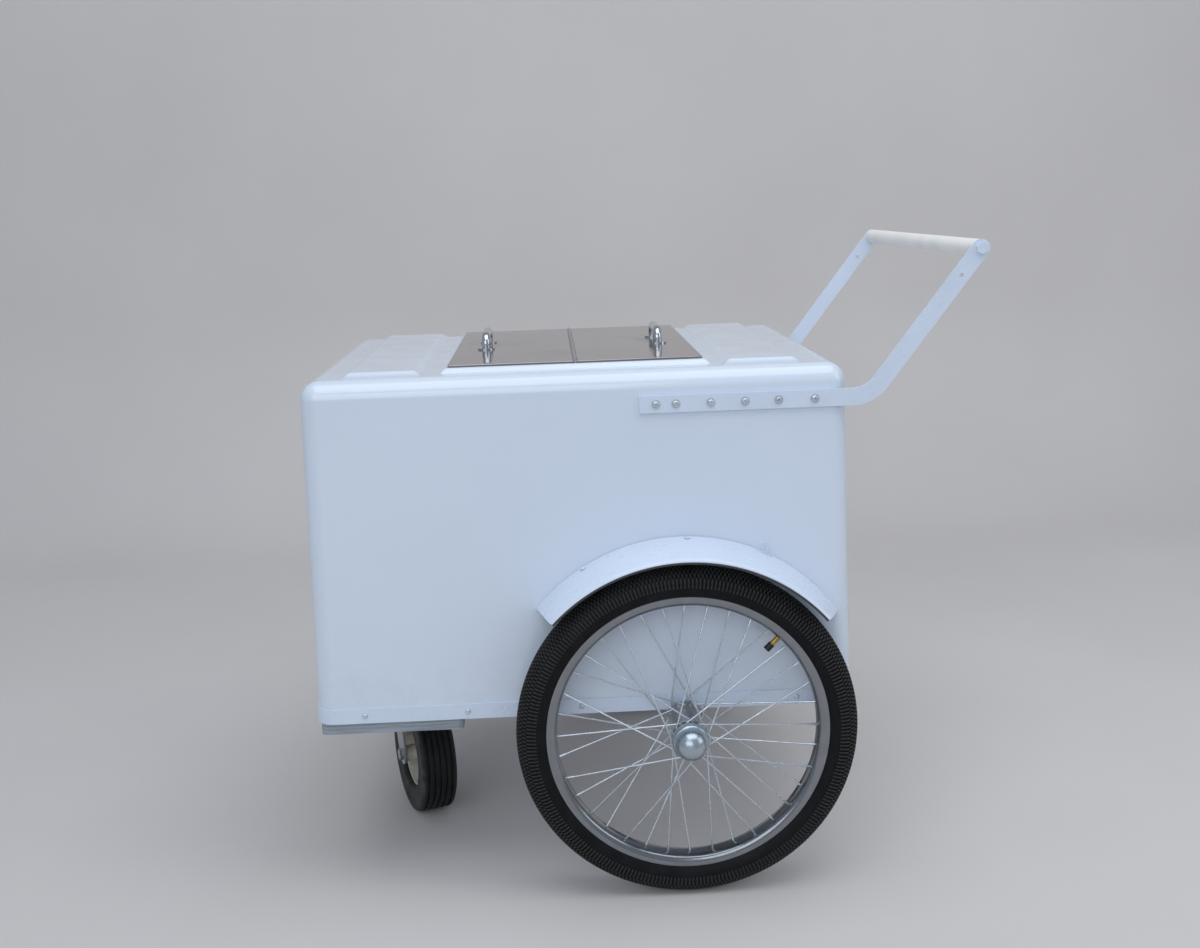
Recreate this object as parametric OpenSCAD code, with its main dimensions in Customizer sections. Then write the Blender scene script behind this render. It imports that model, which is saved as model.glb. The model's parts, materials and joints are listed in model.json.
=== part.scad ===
// Push vending cart: an insulated moulded body on two spoked wheels and a front swivel caster,
// with two hinged lids on top and a push handle at the back.
// Front is -X, the handle end is +X, up is +Z. The floor is z = 0 and y = 0 is the middle.

/* [Body] */
// Length of the moulded body at its base
body_l = 810; // [700:1:1000]
// Width of the moulded body at its base
body_w = 678; // [560:1:800]
// Height of the body from its base to the deck
body_h = 515; // [420:1:640]
// Height of the body's base above the axle
base_lift = 16; // [10:1:60]
// How much each side leans in from base to deck
draft = 6; // [0:0.5:15]
// Radius of the deck's edges and of the upright corners
corner_r = 28; // [12:1:45]
// Thickness of the moulded skin
skin_t = 3; // [2:0.5:5]
// Thickness of the floor panel in the base
pan_t = 12; // [6:1:20]
// Height of the edge strip round the base
band_h = 23; // [15:1:40]
// Thickness of the edge strip
band_t = 2; // [1:0.5:4]
// Places of the screws along each long side of the edge strip, from the body's middle
band_screw_x = [-332, -178, -6, 157, 319]; // [-400:1:400]
// Distance from the middle of each end of the edge strip to its two screws
band_screw_pitch = 165; // [100:1:180]

/* [Storage well] */
// Length of both lids together
lids_l = 381; // [320:1:460]
// Distance from the body's side, at its base, to the lids
lids_side = 75; // [60:1:140]
// How far behind the body's middle the lids' middle stands
lids_x = 4; // [-15:1:20]
// Height of the raised curb above the deck
curb_h = 7; // [4:0.5:15]
// Width of the curb's sloping side
curb_slope = 9; // [4:1:20]
// Width of flat curb that shows outside the lids
curb_margin = 3; // [1:0.5:10]
// Width of flat curb that the lids lie on
curb_land = 20; // [12:1:35]
// Thickness of the insulation between the well's floor and the floor panel
floor_foam_t = 77; // [20:1:250]
// Thickness of the well's liner
liner_t = 3; // [2:0.5:6]

/* [Raised panels] */
// Length of the front raised panel, along the cart
front_panel_l = 118; // [60:1:130]
// Length of the rear raised panel, along the cart
rear_panel_l = 116; // [60:1:130]
// Flat deck beside both raised panels, out to the deck's round edge
panel_side = 5; // [2:1:120]
// Height of the raised panels above the deck
panel_h = 8; // [4:0.5:12]
// Width of their sloping sides
panel_slope = 11; // [4:1:16]
// Flat deck between the front raised panel and the curb
front_panel_gap = 24; // [6:1:40]
// Flat deck between the rear raised panel and the curb
rear_panel_gap = 14; // [6:1:40]

/* [Lids] */
// Overall thickness of the lid's metal edge
lid_t = 3.2; // [2.5:0.1:6]
// Thickness of the lid's metal skin
lid_skin_t = 1.2; // [0.8:0.1:2]
// Thickness of the insulated plug below the skin
lid_core_t = 26; // [12:1:40]
// Thickness of the plug's inner cover
lid_pan_t = 1.5; // [1:0.1:3]
// Gap between the plug and the well's liner
lid_plug_gap = 5; // [3:0.5:12]
// Radius of the centre hinge barrel
barrel_r = 2.8; // [2.4:0.1:4]
// Radius of the hinge pin
hinge_pin_r = 1.4; // [1:0.1:1.8]
// Distance from a lid's outer edge to its pull
pull_inset = 50; // [30:1:80]
// Distance between the two feet of a pull
pull_span = 104; // [70:1:150]
// Height of a pull above the lid
pull_h = 28; // [22:1:50]
// Radius of the pull's rod
pull_r = 7; // [4:0.5:8]

/* [Handle] */
// Width of the flat bar of the arms
arm_w = 25.4; // [20:0.1:40]
// Thickness of the flat bar of the arms
arm_t = 5; // [4:0.5:8]
// Distance from the deck down to the middle of the arms' level stretch
arm_drop = 49; // [45:1:150]
// Places of an arm's screws, measured back from its front end
arm_screw_x = [24, 53, 104, 154, 203, 256]; // [15:1:300]
// Distance from the axle's line forward to the arms' front ends
arm_front = 55; // [0:1:200]
// Distance from the axle's line back to the corner of the arms' bend
arm_corner = 282; // [265:1:340]
// Radius of the arms' bend, at the middle of the bar
arm_bend_r = 52; // [30:1:90]
// Angle of the arms' rising stretch above level
arm_angle = 52.4; // [30:0.1:75]
// Length of the rising stretch, from the bend's corner to the grip
arm_rise = 262; // [180:1:330]
// Distance along the bar from the grip to the spare hole
spare_hole_d = 47; // [30:1:80]
// Radius of the spare hole
spare_hole_r = 3.25; // [2:0.25:5]
// Radius of the grip tube
grip_r = 12.5; // [10:0.5:20]
// Radius of the rod inside the grip tube
grip_rod_r = 5; // [4:0.5:8]

/* [Wheels] */
// Radius of the main wheels over the tyre
wheel_r = 254; // [235:1:262]
// Width of the main tyres
tyre_w = 54; // [44:1:62]
// Height of the main tyres above the edges of their rims
tyre_h = 44; // [38:1:60]
// Width of the main rims
rim_w = 38; // [30:1:42]
// Distance from the body's side to the middle of a main wheel
wheel_gap = 51; // [50:1:80]
// Distance from the body's middle back to the axle
axle_x = 148; // [100:1:200]
// Radius of the axle
axle_r = 8; // [6:0.5:10]
// Radial clearance of the running bearings
run_gap = 0.06; // [0.02:0.01:0.1]
// Distance between the hub's two spoke flanges
flange_span = 72; // [60:1:80]
// Radius of the hub's spoke flanges
flange_r = 30; // [27:1:36]
// Radius of a spoke
spoke_r = 1.25; // [0.8:0.05:1.3]
// Number of spokes in a wheel
spokes_n = 36; // [24:4:36]

/* [Fenders] */
// Gap between the tyre and a fender at the body's side
fender_gap_in = 30; // [18:1:50]
// Gap between the tyre and a fender at its outer edge
fender_gap_out = 18; // [12:1:40]
// Width of a fender, out from the body's side
fender_w = 88; // [82:1:110]
// Thickness of a fender
fender_t = 2.5; // [1.5:0.5:4]
// Angle of the fender's rear end above level
fender_a0 = 34; // [20:1:60]
// Angle of the fender's front end above level, from the rear
fender_a1 = 140; // [120:1:160]

/* [Caster] */
// Length of the board that carries the caster, along the cart
board_l = 214; // [160:1:300]
// Thickness of that board
board_t = 18; // [12:1:25]
// Gap between the caster tyre and the fork's crown
caster_gap = 33.7; // [5:0.1:60]
// Width of the caster tyre
caster_w = 60; // [40:1:70]
// Radius of the caster's rim
caster_rim_r = 58; // [40:1:62]
// Distance from the swivel's axis to the caster's axle
caster_trail = 42; // [30:1:60]
// How far the caster is turned from straight back
caster_turn = -70; // [-180:1:180]
// Radius of the caster's axle bolt
caster_axle_r = 6; // [4:0.5:8]

/* [Hidden] */

$fn = 64;
// Overshoot of a cutting shape past the face it opens
eps = 1;
// Gap kept between pieces that move past each other
clear = 0.3;
white = "white";
steel = "silver";

// Screws
small_screw_r = 2;
small_head_r = 4.2;
small_head_h = 2.4;
head_gap = 0.03;
band_screw_l = band_t + skin_t + 8;
// A head stands off a leaning face by the lean across its radius
band_face = band_t + small_head_r * draft / body_h + head_gap;
arm_screw_r = 2.5;
arm_head_r = 4.6;
arm_head_h = 3;
washer_r = 6.4;
washer_t = 1.2;
arm_screw_l = washer_t + arm_t + skin_t + 18;
root_screw_l = 2 * skin_t + 12;
bolt_r = 4;
bolt_hex_r = 7.5;
bolt_hex_h = 5;

// Places along the cart. The part's zero is midway between the front screws and the arms' ends.
arm_end_r = arm_w / 2;
grip_x_from_axle = arm_corner + arm_rise * cos(arm_angle);
part_front = -body_l / 2 - band_t - small_head_h;
part_back = axle_x + grip_x_from_axle + arm_end_r;
mid_x = -(part_front + part_back) / 2;
base_z = wheel_r + base_lift;
deck_z = base_z + body_h;
curb_z = deck_z + curb_h;
arm_z = deck_z - arm_drop;
wheel_x = mid_x + axle_x;
wheel_z = wheel_r;
rim_r = wheel_r - tyre_h;
fender_r_in = wheel_r + fender_gap_in;
fender_r_out = wheel_r + fender_gap_out;

// Lean of the body's sides, and the half width left at a height
function side_y(z) = body_w / 2 - draft * (z - base_z) / body_h;
// The body's side is measured at the height of the arms
wheel_y = side_y(arm_z) + wheel_gap;

// Storage well, lids and raised panels
lids_w = body_w - 2 * lids_side;
panel_w = body_w - 2 * (draft + corner_r + panel_side);
lids_mid = mid_x + lids_x;
curb_l = lids_l + 2 * curb_margin;
curb_w = lids_w + 2 * curb_margin;
well_l = lids_l - 2 * curb_land;
well_w = lids_w - 2 * curb_land;
well_floor_z = base_z + pan_t + floor_foam_t + liner_t;
lid_z = curb_z + clear;
lid_top = lid_z + lid_t;
// The pin lies just under the lids' top, so that both lids can stand up together
pin_drop = 0.6;
pin_z = lid_top - pin_drop;
barrel_gap = 0.5;
lid_gap = 0.4;
lid_edge_x = barrel_r + barrel_gap;
bar_w = 14;
bar_h = 16;
bar_top = pin_z - barrel_r - barrel_gap;
core_in_x = bar_w / 2 + lid_pan_t + 2 * lid_gap;
lid_under = lid_top - lid_skin_t;

bar_l = lids_w + 2 * eps;

// Hinge knuckles, which take turns between the bar and the two lids
knuckles_n = 16;
knuckle_l = lids_w / knuckles_n;
knuckle_gap = lid_gap;
leaf_t = 1.2;
leaf_l = 24;

// Arms: the body's side where the arms lie, and the grip's place
arm_y = side_y(arm_z - arm_w / 2);
arm_x0 = wheel_x - arm_front;
corner_x = wheel_x + arm_corner;
grip_x = wheel_x + grip_x_from_axle;
grip_z = arm_z + arm_rise * sin(arm_angle);
bend_x = corner_x - arm_bend_r * tan(arm_angle / 2);

// Main wheels
bead_r = rim_r - 7;
rim_lip_t = 2;
rim_in_r = rim_r - 16.5;
rim_floor_t = 2.5;
hub_end = flange_span / 2 + 8;
// The hub's inner end stops just short of the edge strip
band_clear = 1.5;
hub_in = wheel_y - body_w / 2 - band_t - band_clear;
hub_r = 16;
flange_t = 3;
spoke_circle_r = flange_r - 4;
spoke_lift = flange_t / 2 + spoke_r;
elbow_r = spoke_r * 1.15;
spoke_head_h = 1.2;
spoke_bare = 3;
cap_shoulder_r = 27;
cap_wall = 1.6;
cap_dome_r = 24;
cap_dome_y = flange_span / 2 + 21;
cap_foot_y = flange_span / 2 + spoke_lift + elbow_r + clear;
axle_nut_h = 9;
axle_nut_r = 13;
// Play between the hub and the collar and nut that keep it in place
hub_play = 0.5;
axle_end = hub_end + 14;
collar_l = 14;
nipple_r = 1.9;
nipple_l = 15;
nipple_head_t = 2.4;
valve_a = 45;
valve_r = 4;
rim_floor_w = 9;

// Fenders: the body's side at the fender's lowest point, from the wheel's middle plane
fender_root = wheel_y - side_y(wheel_z + fender_r_in * sin(fender_a0)) - 0.2;
fender_lip = 8;
fender_slant_rear = 18;
fender_slant_front = 10;
fender_bracket_a = [64, 88, 121];
fender_bracket_w = 20;
fender_bracket_t = 3;
fender_screw_d = 9;
fender_root_screw_d = 24;
fender_hole_l = 20;
fender_slope = (fender_r_out - fender_r_in) / fender_w;

// Caster: heights of its pieces below the board
board_z = base_z - board_t;
board_in = 5;
board_x = mid_x - body_l / 2 + board_in + board_l / 2;
board_w = body_w - 8;
board_corner_r = 10;
board_bolt_in = 30;
plate_bolt_in = 12;
plate_bolt_l = 15;
caster_plate_t = 4;
caster_plate_l = 110;
caster_plate_w = 90;
race_r = 36;
race_h = 7;
crown_z = board_z - caster_plate_t - race_h - clear;
crown_t = 5;
caster_r = (crown_z - crown_t - caster_gap) / 2;
kingpin_r = 6;
kingpin_head_h = 4;
fork_in = caster_w / 2 + 5.5;
fork_t = 4;
fork_w = 36;
caster_hub_half = fork_in - clear;

// ---------------------------------------------------------------- shared shapes

// Points the Z axis of its children along Y
module along_y() rotate([-90, 0, 0]) children();

// A rod from point a to point b
module rod(a, b, r) {
    d = b - a;
    len = norm(d);
    translate(a)
        rotate([0, acos(d[2] / len), atan2(d[1], d[0])])
            cylinder(r = r, h = len);
}

// A level plate with rounded corners, from z = 0 up
module round_plate(l, w, t, r) {
    linear_extrude(t) hull()
        for (x = [-1, 1], y = [-1, 1])
            translate([x * (l / 2 - r), y * (w / 2 - r)]) circle(r, $fn = 32);
}

// A raised panel with four sloping sides, from z = 0 up
module sloped_pad(l, w, h, slope) {
    intersection() {
        translate([0, w / 2 + eps, 0]) rotate([90, 0, 0]) linear_extrude(w + 2 * eps)
            polygon([[-l / 2, 0], [l / 2, 0], [l / 2 - slope, h], [-l / 2 + slope, h]]);
        translate([-l / 2 - eps, 0, 0]) rotate([90, 0, 90]) linear_extrude(l + 2 * eps)
            polygon([[-w / 2, 0], [w / 2, 0], [w / 2 - slope, h], [-w / 2 + slope, h]]);
    }
}

// A round corner of the deck: a quarter disc turned about its upright edge
module corner_dome(r) {
    rotate_extrude($fn = 32) intersection() {
        circle(r = r, $fn = 32);
        square(r);
    }
}

// The whole body's form, with leaning sides and round edges, shrunk on its sides and top by inset.
// Its leaning faces go on below the base by drop, so that a cut passes right through.
module body_form(inset, drop = 0) {
    r = corner_r - inset;
    top = deck_z - max(inset, 0);
    lean = draft * (top - base_z) / body_h;
    flare = lean * drop / (top - r - base_z - eps);
    hull() for (x = [-1, 1], y = [-1, 1]) {
        translate([
            x * (body_l / 2 - inset - r + flare), y * (body_w / 2 - inset - r + flare), base_z - drop
        ])
            cylinder(r = r, h = eps, $fn = 32);
        translate([x * (body_l / 2 - inset - lean - r), y * (body_w / 2 - inset - lean - r), top - r])
            corner_dome(r);
    }
}

// The deck's raised shapes, shrunk by inset: the curb round the lids and the two panels
module deck_raised(inset) {
    translate([lids_mid - mid_x, 0, deck_z - inset - eps]) {
        sloped_pad(curb_l + 2 * curb_slope - 2 * inset, curb_w + 2 * curb_slope - 2 * inset,
            curb_h + eps, curb_slope);
    }
    for (s = [-1, 1]) {
        l = s < 0 ? front_panel_l : rear_panel_l;
        gap = s < 0 ? front_panel_gap : rear_panel_gap;
        x = lids_mid - mid_x + s * (curb_l / 2 + curb_slope + gap + l / 2);
        translate([x, 0, deck_z - inset - eps])
            sloped_pad(l - 2 * inset, panel_w - 2 * inset, panel_h + eps, panel_slope);
    }
}

// Everything inside the moulded skin's outer (inset 0) or inner (inset skin_t) face
module shell_form(inset) {
    translate([mid_x, 0, 0]) {
        body_form(inset, inset > 0 ? eps : 0);
        deck_raised(inset);
    }
}

// The storage well's space, grown by t on its sides and floor
module well_space(t) {
    translate([lids_mid - well_l / 2 - t, -well_w / 2 - t, well_floor_z - t])
        cube([well_l + 2 * t, well_w + 2 * t, curb_z - well_floor_z + t + eps]);
}

// A pan-head screw that points along +Y, its head's underside at y = 0
module pan_screw(head_r, head_h, shank_r, length) {
    along_y() {
        difference() {
            translate([0, 0, -head_h]) cylinder(r1 = head_r * 0.75, r2 = head_r, h = head_h);
            for (a = [0, 90])
                rotate([0, 0, a]) translate([-head_r / 2, -head_r / 10, -head_h - eps])
                    cube([head_r, head_r / 5, head_h / 2 + eps]);
        }
        cylinder(r = shank_r, h = length);
    }
}

// ---------------------------------------------------------------- body

module outer_shell() {
    color(white) difference() {
        shell_form(0);
        shell_form(skin_t);
        well_space(liner_t);
        hinge_slot();
        band_screw_places() along_y() cylinder(r = small_screw_r, h = band_screw_l);
        arm_screw_places() along_y() cylinder(r = arm_screw_r, h = arm_screw_l);
        fender_root_screw_places() along_y() cylinder(r = small_screw_r, h = root_screw_l);
    }
}

module inner_liner() {
    color("ghostwhite") difference() {
        translate([lids_mid - well_l / 2 - liner_t, -well_w / 2 - liner_t, well_floor_z - liner_t])
            cube([well_l + 2 * liner_t, well_w + 2 * liner_t, curb_z - well_floor_z + liner_t]);
        well_space(0);
        hinge_slot();
    }
}

// The slot in the curb that the centre bar lies in
module hinge_slot() {
    translate([lids_mid - bar_w / 2, -bar_l / 2, bar_top - bar_h])
        cube([bar_w, bar_l, bar_h + curb_h + eps]);
}

// The two sides' copies of something that is drawn on the left side, which faces -Y
module both_sides() {
    children();
    mirror([0, 1, 0]) children();
}

// Places on the edge strip: its screws point inwards, drawn along +Y from the strip's face
module band_screw_places() {
    z = base_z + band_h / 2;
    both_sides()
        for (x = band_screw_x) translate([mid_x + x, -side_y(z) - band_face, z]) children();
    end_x = body_l / 2 - draft * band_h / 2 / body_h + band_face;
    for (s = [0, 180], i = [-1, 1])
        translate([mid_x, 0, z]) rotate([0, 0, s - 90]) translate([i * band_screw_pitch, -end_x, 0])
            children();
}

// Places of the arms' screws, at the outer face of each washer
module arm_screw_places() {
    both_sides()
        for (x = arm_screw_x) translate([arm_x0 + x, -arm_y - arm_t - washer_t, arm_z]) children();
}

// Places of the screws that hold each fender bracket to the body's side
module fender_root_screw_places() {
    both_sides()
        for (a = fender_bracket_a)
            translate([wheel_x, 0, wheel_z]) rotate([0, -a, 0])
                translate([fender_r_in - fender_root_screw_d, -wheel_y + fender_root - fender_bracket_t, 0])
                    children();
}

module insulation_foam() {
    color("khaki") difference() {
        shell_form(skin_t);
        translate([-body_l, -body_w, base_z - body_h + pan_t]) cube([2 * body_l, 2 * body_w, body_h]);
        well_space(liner_t);
        hinge_slot();
        band_screw_places() along_y() cylinder(r = small_screw_r, h = band_screw_l);
        arm_screw_places() along_y() cylinder(r = arm_screw_r, h = arm_screw_l);
        fender_root_screw_places() along_y() cylinder(r = small_screw_r, h = root_screw_l);
    }
}

module base_pan() {
    color("gainsboro") difference() {
        intersection() {
            shell_form(skin_t);
            translate([-body_l, -body_w, base_z]) cube([2 * body_l, 2 * body_w, pan_t]);
        }
        band_screw_places() along_y() cylinder(r = small_screw_r, h = band_screw_l);
        board_bolt_places() cylinder(r = bolt_r, h = board_t + pan_t);
        bracket_bolt_places() cylinder(r = bolt_r, h = pan_t + eps);
    }
}

module base_band() {
    color(white) difference() {
        intersection() {
            translate([mid_x, 0, 0]) body_form(-band_t, base_lift / 2);
            translate([-body_l, -body_w, base_z]) cube([2 * body_l, 2 * body_w, band_h]);
        }
        translate([mid_x, 0, 0]) body_form(0, base_lift);
        band_screw_places() along_y() cylinder(r = small_screw_r, h = band_screw_l);
    }
}

module band_screws() {
    color(steel) band_screw_places()
        pan_screw(small_head_r, small_head_h, small_screw_r, band_screw_l);
}

// ---------------------------------------------------------------- caster board and caster

module at_caster() {
    translate([board_x, 0, 0]) rotate([0, 0, caster_turn]) children();
}

// Bolts through the board: four at its ends, four through the caster's plate
module board_bolt_places() {
    x = board_l / 2 - board_bolt_in;
    y = board_w / 2 - 2 * board_bolt_in;
    for (i = [-1, 1], j = [-1, 1]) translate([board_x + i * x, j * y, board_z]) children();
}

module plate_bolt_places() {
    x = caster_plate_l / 2 - plate_bolt_in;
    y = caster_plate_w / 2 - plate_bolt_in;
    for (i = [-1, 1], j = [-1, 1]) translate([board_x + i * x, j * y, board_z]) children();
}

module caster_board() {
    color("darkgray") difference() {
        translate([board_x, 0, board_z]) round_plate(board_l, board_w, board_t, board_corner_r);
        board_bolt_places() translate([0, 0, -eps]) cylinder(r = bolt_r, h = board_t + 2 * eps);
        plate_bolt_places() translate([0, 0, -eps]) cylinder(r = bolt_r, h = plate_bolt_l + eps);
        translate([board_x, 0, board_z - eps]) cylinder(r = kingpin_r + 1, h = caster_plate_t + eps);
    }
}

module board_bolts() {
    color(steel) {
        board_bolt_places() {
            cylinder(r = bolt_r, h = board_t + pan_t);
            translate([0, 0, -bolt_hex_h]) cylinder(r = bolt_hex_r, h = bolt_hex_h, $fn = 6);
        }
        plate_bolt_places() {
            translate([0, 0, -caster_plate_t]) cylinder(r = bolt_r, h = caster_plate_t + plate_bolt_l);
            translate([0, 0, -caster_plate_t - bolt_hex_h])
                cylinder(r = bolt_hex_r, h = bolt_hex_h, $fn = 6);
        }
    }
}

module caster_plate() {
    color(steel) difference() {
        union() {
            translate([board_x, 0, board_z - caster_plate_t])
                round_plate(caster_plate_l, caster_plate_w, caster_plate_t, board_corner_r);
            translate([board_x, 0, board_z - caster_plate_t - race_h])
                cylinder(r = race_r, h = race_h + eps);
        }
        plate_bolt_places() translate([0, 0, -caster_plate_t - eps])
            cylinder(r = bolt_r, h = caster_plate_t + 2 * eps);
        translate([board_x, 0, 0]) cylinder(r = kingpin_r, h = board_z + eps);
    }
}

module caster_kingpin() {
    color(steel) translate([board_x, 0, 0]) {
        bottom = crown_z - crown_t - clear;
        translate([0, 0, bottom]) cylinder(r = kingpin_r, h = board_z - bottom);
        translate([0, 0, bottom - kingpin_head_h]) cylinder(r = 2 * kingpin_r, h = kingpin_head_h);
    }
}

module caster_fork() {
    color(steel) at_caster() difference() {
        union() {
            translate([-race_r, -fork_in - fork_t, crown_z - crown_t])
                cube([2 * race_r, 2 * (fork_in + fork_t), crown_t]);
            for (s = [-1, 1])
                translate([0, s * (fork_in + fork_t / 2) + fork_t / 2, 0]) rotate([90, 0, 0])
                    linear_extrude(fork_t) hull() {
                        translate([-race_r, crown_z - crown_t]) square([2 * race_r, crown_t]);
                        translate([caster_trail, caster_r]) circle(r = fork_w / 2);
                    }
        }
        cylinder(r = kingpin_r + run_gap, h = board_z);
        translate([caster_trail, -fork_in - fork_t - eps, caster_r]) along_y()
            cylinder(r = caster_axle_r, h = 2 * (fork_in + fork_t + eps));
    }
}

module caster_axle() {
    half = fork_in + fork_t;
    hex_r = caster_axle_r * 1.7;
    head_h = 6;
    nut_h = 7;
    color(steel) at_caster() translate([caster_trail, 0, caster_r]) {
        translate([0, -half, 0]) along_y() cylinder(r = caster_axle_r, h = 2 * half + nut_h + 2);
        translate([0, -half - head_h, 0]) along_y() cylinder(r = hex_r, h = head_h, $fn = 6);
        translate([0, half, 0]) along_y() cylinder(r = hex_r, h = nut_h, $fn = 6);
    }
}

module caster_rim() {
    boss_r = caster_axle_r + 8;
    seat = caster_w / 2 - 9;
    disc_t = 6;
    seat_t = 4;
    hole_r = 8;
    color("linen") at_caster() translate([caster_trail, 0, caster_r]) along_y() difference() {
        rotate_extrude($fn = 96) difference() {
            union() {
                translate([0, -caster_hub_half]) square([boss_r, 2 * caster_hub_half]);
                translate([0, -disc_t / 2]) square([caster_rim_r, disc_t]);
                translate([caster_rim_r - seat_t, -seat]) square([seat_t, 2 * seat]);
            }
            translate([-eps, -caster_hub_half - eps])
                square([caster_axle_r + run_gap + eps, 2 * caster_hub_half + 2 * eps]);
        }
        for (a = [0 : 90 : 270])
            rotate([0, 0, a + 45]) translate([(boss_r + caster_rim_r) / 2, 0, -disc_t])
                cylinder(r = hole_r, h = 2 * disc_t);
    }
}

module caster_tyre() {
    groove_w = 3;
    groove_d = 3;
    groove_pitch = caster_w / 6;
    side_r = 9;
    wall = 7;
    heel_r = 4;
    hollow_r = 3;
    half = caster_w / 2;
    color("dimgray") at_caster() translate([caster_trail, 0, caster_r]) along_y()
        rotate_extrude($fn = 96) difference() {
            intersection() {
                translate([caster_rim_r, -half]) square([caster_r - caster_rim_r, caster_w]);
                hull() {
                    for (s = [-1, 1]) {
                        translate([caster_r - side_r, s * (half - side_r)]) circle(r = side_r, $fn = 48);
                        translate([caster_rim_r, s * (half - 2.5 * heel_r)]) circle(r = heel_r, $fn = 24);
                    }
                    translate([caster_r - eps, -half / 2]) square([eps, half]);
                }
            }
            hull() for (s = [-1, 1]) {
                translate([caster_r - wall - 2 * hollow_r, s * (half - wall - hollow_r)])
                    circle(r = hollow_r, $fn = 32);
                translate([caster_rim_r + wall + hollow_r, s * (half / 3)]) circle(r = hollow_r, $fn = 24);
            }
            for (i = [-2 : 2])
                translate([caster_r - groove_d, i * groove_pitch - groove_w / 2])
                    square([groove_d + eps, groove_w]);
        }
}

// ---------------------------------------------------------------- axle

bracket_y = body_w / 2 - 50;
bracket_bolt_x = 35;
bracket_t = 5;

module bracket_bolt_places() {
    for (x = [-1, 1], y = [-1, 1])
        translate([wheel_x + x * bracket_bolt_x, y * bracket_y, base_z]) children();
}

module axle() {
    half = wheel_y + axle_end;
    collar_y = wheel_y - hub_in - hub_play;
    color(steel) translate([wheel_x, 0, wheel_z]) {
        translate([0, -half, 0]) along_y() cylinder(r = axle_r, h = 2 * half);
        for (s = [-1, 1])
            translate([0, s * collar_y - (s > 0 ? collar_l : 0), 0]) along_y()
                cylinder(r = 1.5 * axle_r, h = collar_l);
    }
}

module axle_brackets() {
    foot_l = 100;
    foot_w = 40;
    lug_l = 40;
    lug_w = 16;
    lug_h = base_z - wheel_z + 18;
    color(steel) difference() {
        for (s = [-1, 1]) translate([wheel_x, s * bracket_y, base_z]) {
            translate([-foot_l / 2, -foot_w / 2, -bracket_t]) cube([foot_l, foot_w, bracket_t]);
            translate([-lug_l / 2, -lug_w / 2, -lug_h]) cube([lug_l, lug_w, lug_h]);
        }
        translate([wheel_x, -wheel_y, wheel_z]) along_y() cylinder(r = axle_r, h = 2 * wheel_y);
        bracket_bolt_places() translate([0, 0, -bracket_t - eps])
            cylinder(r = bolt_r, h = bracket_t + 2 * eps);
    }
}

module bracket_bolts() {
    color(steel) bracket_bolt_places() translate([0, 0, -bracket_t]) {
        cylinder(r = bolt_r, h = bracket_t + pan_t);
        translate([0, 0, -bolt_hex_h]) cylinder(r = bolt_hex_r, h = bolt_hex_h, $fn = 6);
    }
}

module axle_nuts() {
    y = wheel_y + hub_end + hub_play + axle_nut_h;
    color(steel) both_sides() translate([wheel_x, -y, wheel_z]) along_y() difference() {
        cylinder(r = axle_nut_r, h = axle_nut_h, $fn = 6);
        translate([0, 0, -eps]) cylinder(r = axle_r, h = axle_nut_h + 2 * eps);
    }
}

// ---------------------------------------------------------------- main wheels

// Puts a wheel that is drawn at the origin, outer face towards -Y, on side s (-1 left, 1 right)
module at_wheel(s) {
    translate([wheel_x, s * wheel_y, wheel_z]) mirror([0, s > 0 ? 1 : 0, 0]) children();
}

// Turns a section drawn as [radius, outward distance] into a ring about the wheel's axis
module wheel_ring() {
    rotate([90, 0, 0]) rotate_extrude($fn = 144) children();
}

// Where spoke i leaves the hub and where it meets the rim
function spoke_end_a(i) = i * 360 / spokes_n;
function spoke_side(i) = i % 2 == 0 ? 1 : -1;
function spoke_lead(i) = floor(i / 2) % 2 == 0 ? 1 : -1;
function spoke_hub(i) = let (a = spoke_end_a(i) + spoke_lead(i) * 60)
    [spoke_circle_r * cos(a), -spoke_side(i) * (flange_span / 2 + spoke_lead(i) * spoke_lift),
        spoke_circle_r * sin(a)];
function spoke_rim(i) = let (a = spoke_end_a(i))
    [rim_in_r * cos(a), -spoke_side(i) * 2.5, rim_in_r * sin(a)];
// A point at distance d beyond the rim's inner face, along spoke i
function along_spoke(i, d) = let (h = spoke_hub(i), r = spoke_rim(i)) r + (r - h) * d / norm(r - h);

module tyre() {
    c = wheel_r - tyre_w / 2;
    bead_half = rim_w / 2 - rim_lip_t;
    wall = 4.5;
    bead_t = 6;
    color("#222222") wheel_ring() difference() {
        union() {
            translate([c, 0]) circle(r = tyre_w / 2, $fn = 96);
            translate([bead_r, -bead_half]) square([c - bead_r, 2 * bead_half]);
        }
        translate([c, 0]) circle(r = tyre_w / 2 - wall, $fn = 72);
        translate([bead_r - eps, -bead_half + bead_t]) square([c - bead_r, 2 * (bead_half - bead_t)]);
        for (s = [-1, 1])
            translate([0, s > 0 ? bead_half : -bead_half - tyre_w]) square([rim_r, tyre_w]);
        square([bead_r * 2, tyre_w], center = true);
    }
}

module rim() {
    h = rim_w / 2;
    hole_l = 16;
    wall_in = 4;
    color(steel) difference() {
        wheel_ring() polygon([
            [rim_r, h], [rim_r, h - rim_lip_t], [bead_r, h - rim_lip_t],
            [bead_r, rim_floor_w + 1], [rim_in_r + rim_floor_t, rim_floor_w - 1],
            [rim_in_r + rim_floor_t, 1 - rim_floor_w], [bead_r, -rim_floor_w - 1],
            [bead_r, -h + rim_lip_t], [rim_r, -h + rim_lip_t], [rim_r, -h], [rim_in_r + wall_in, -h],
            [rim_in_r, -rim_floor_w], [rim_in_r, rim_floor_w], [rim_in_r + wall_in, h],
        ]);
        for (i = [0 : spokes_n - 1]) rod(along_spoke(i, -hole_l / 2), along_spoke(i, hole_l / 2), nipple_r);
        rotate([0, -valve_a, 0]) translate([rim_in_r - hole_l / 2, 0, 0]) rotate([0, 90, 0])
            cylinder(r = valve_r, h = hole_l);
    }
}

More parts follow.
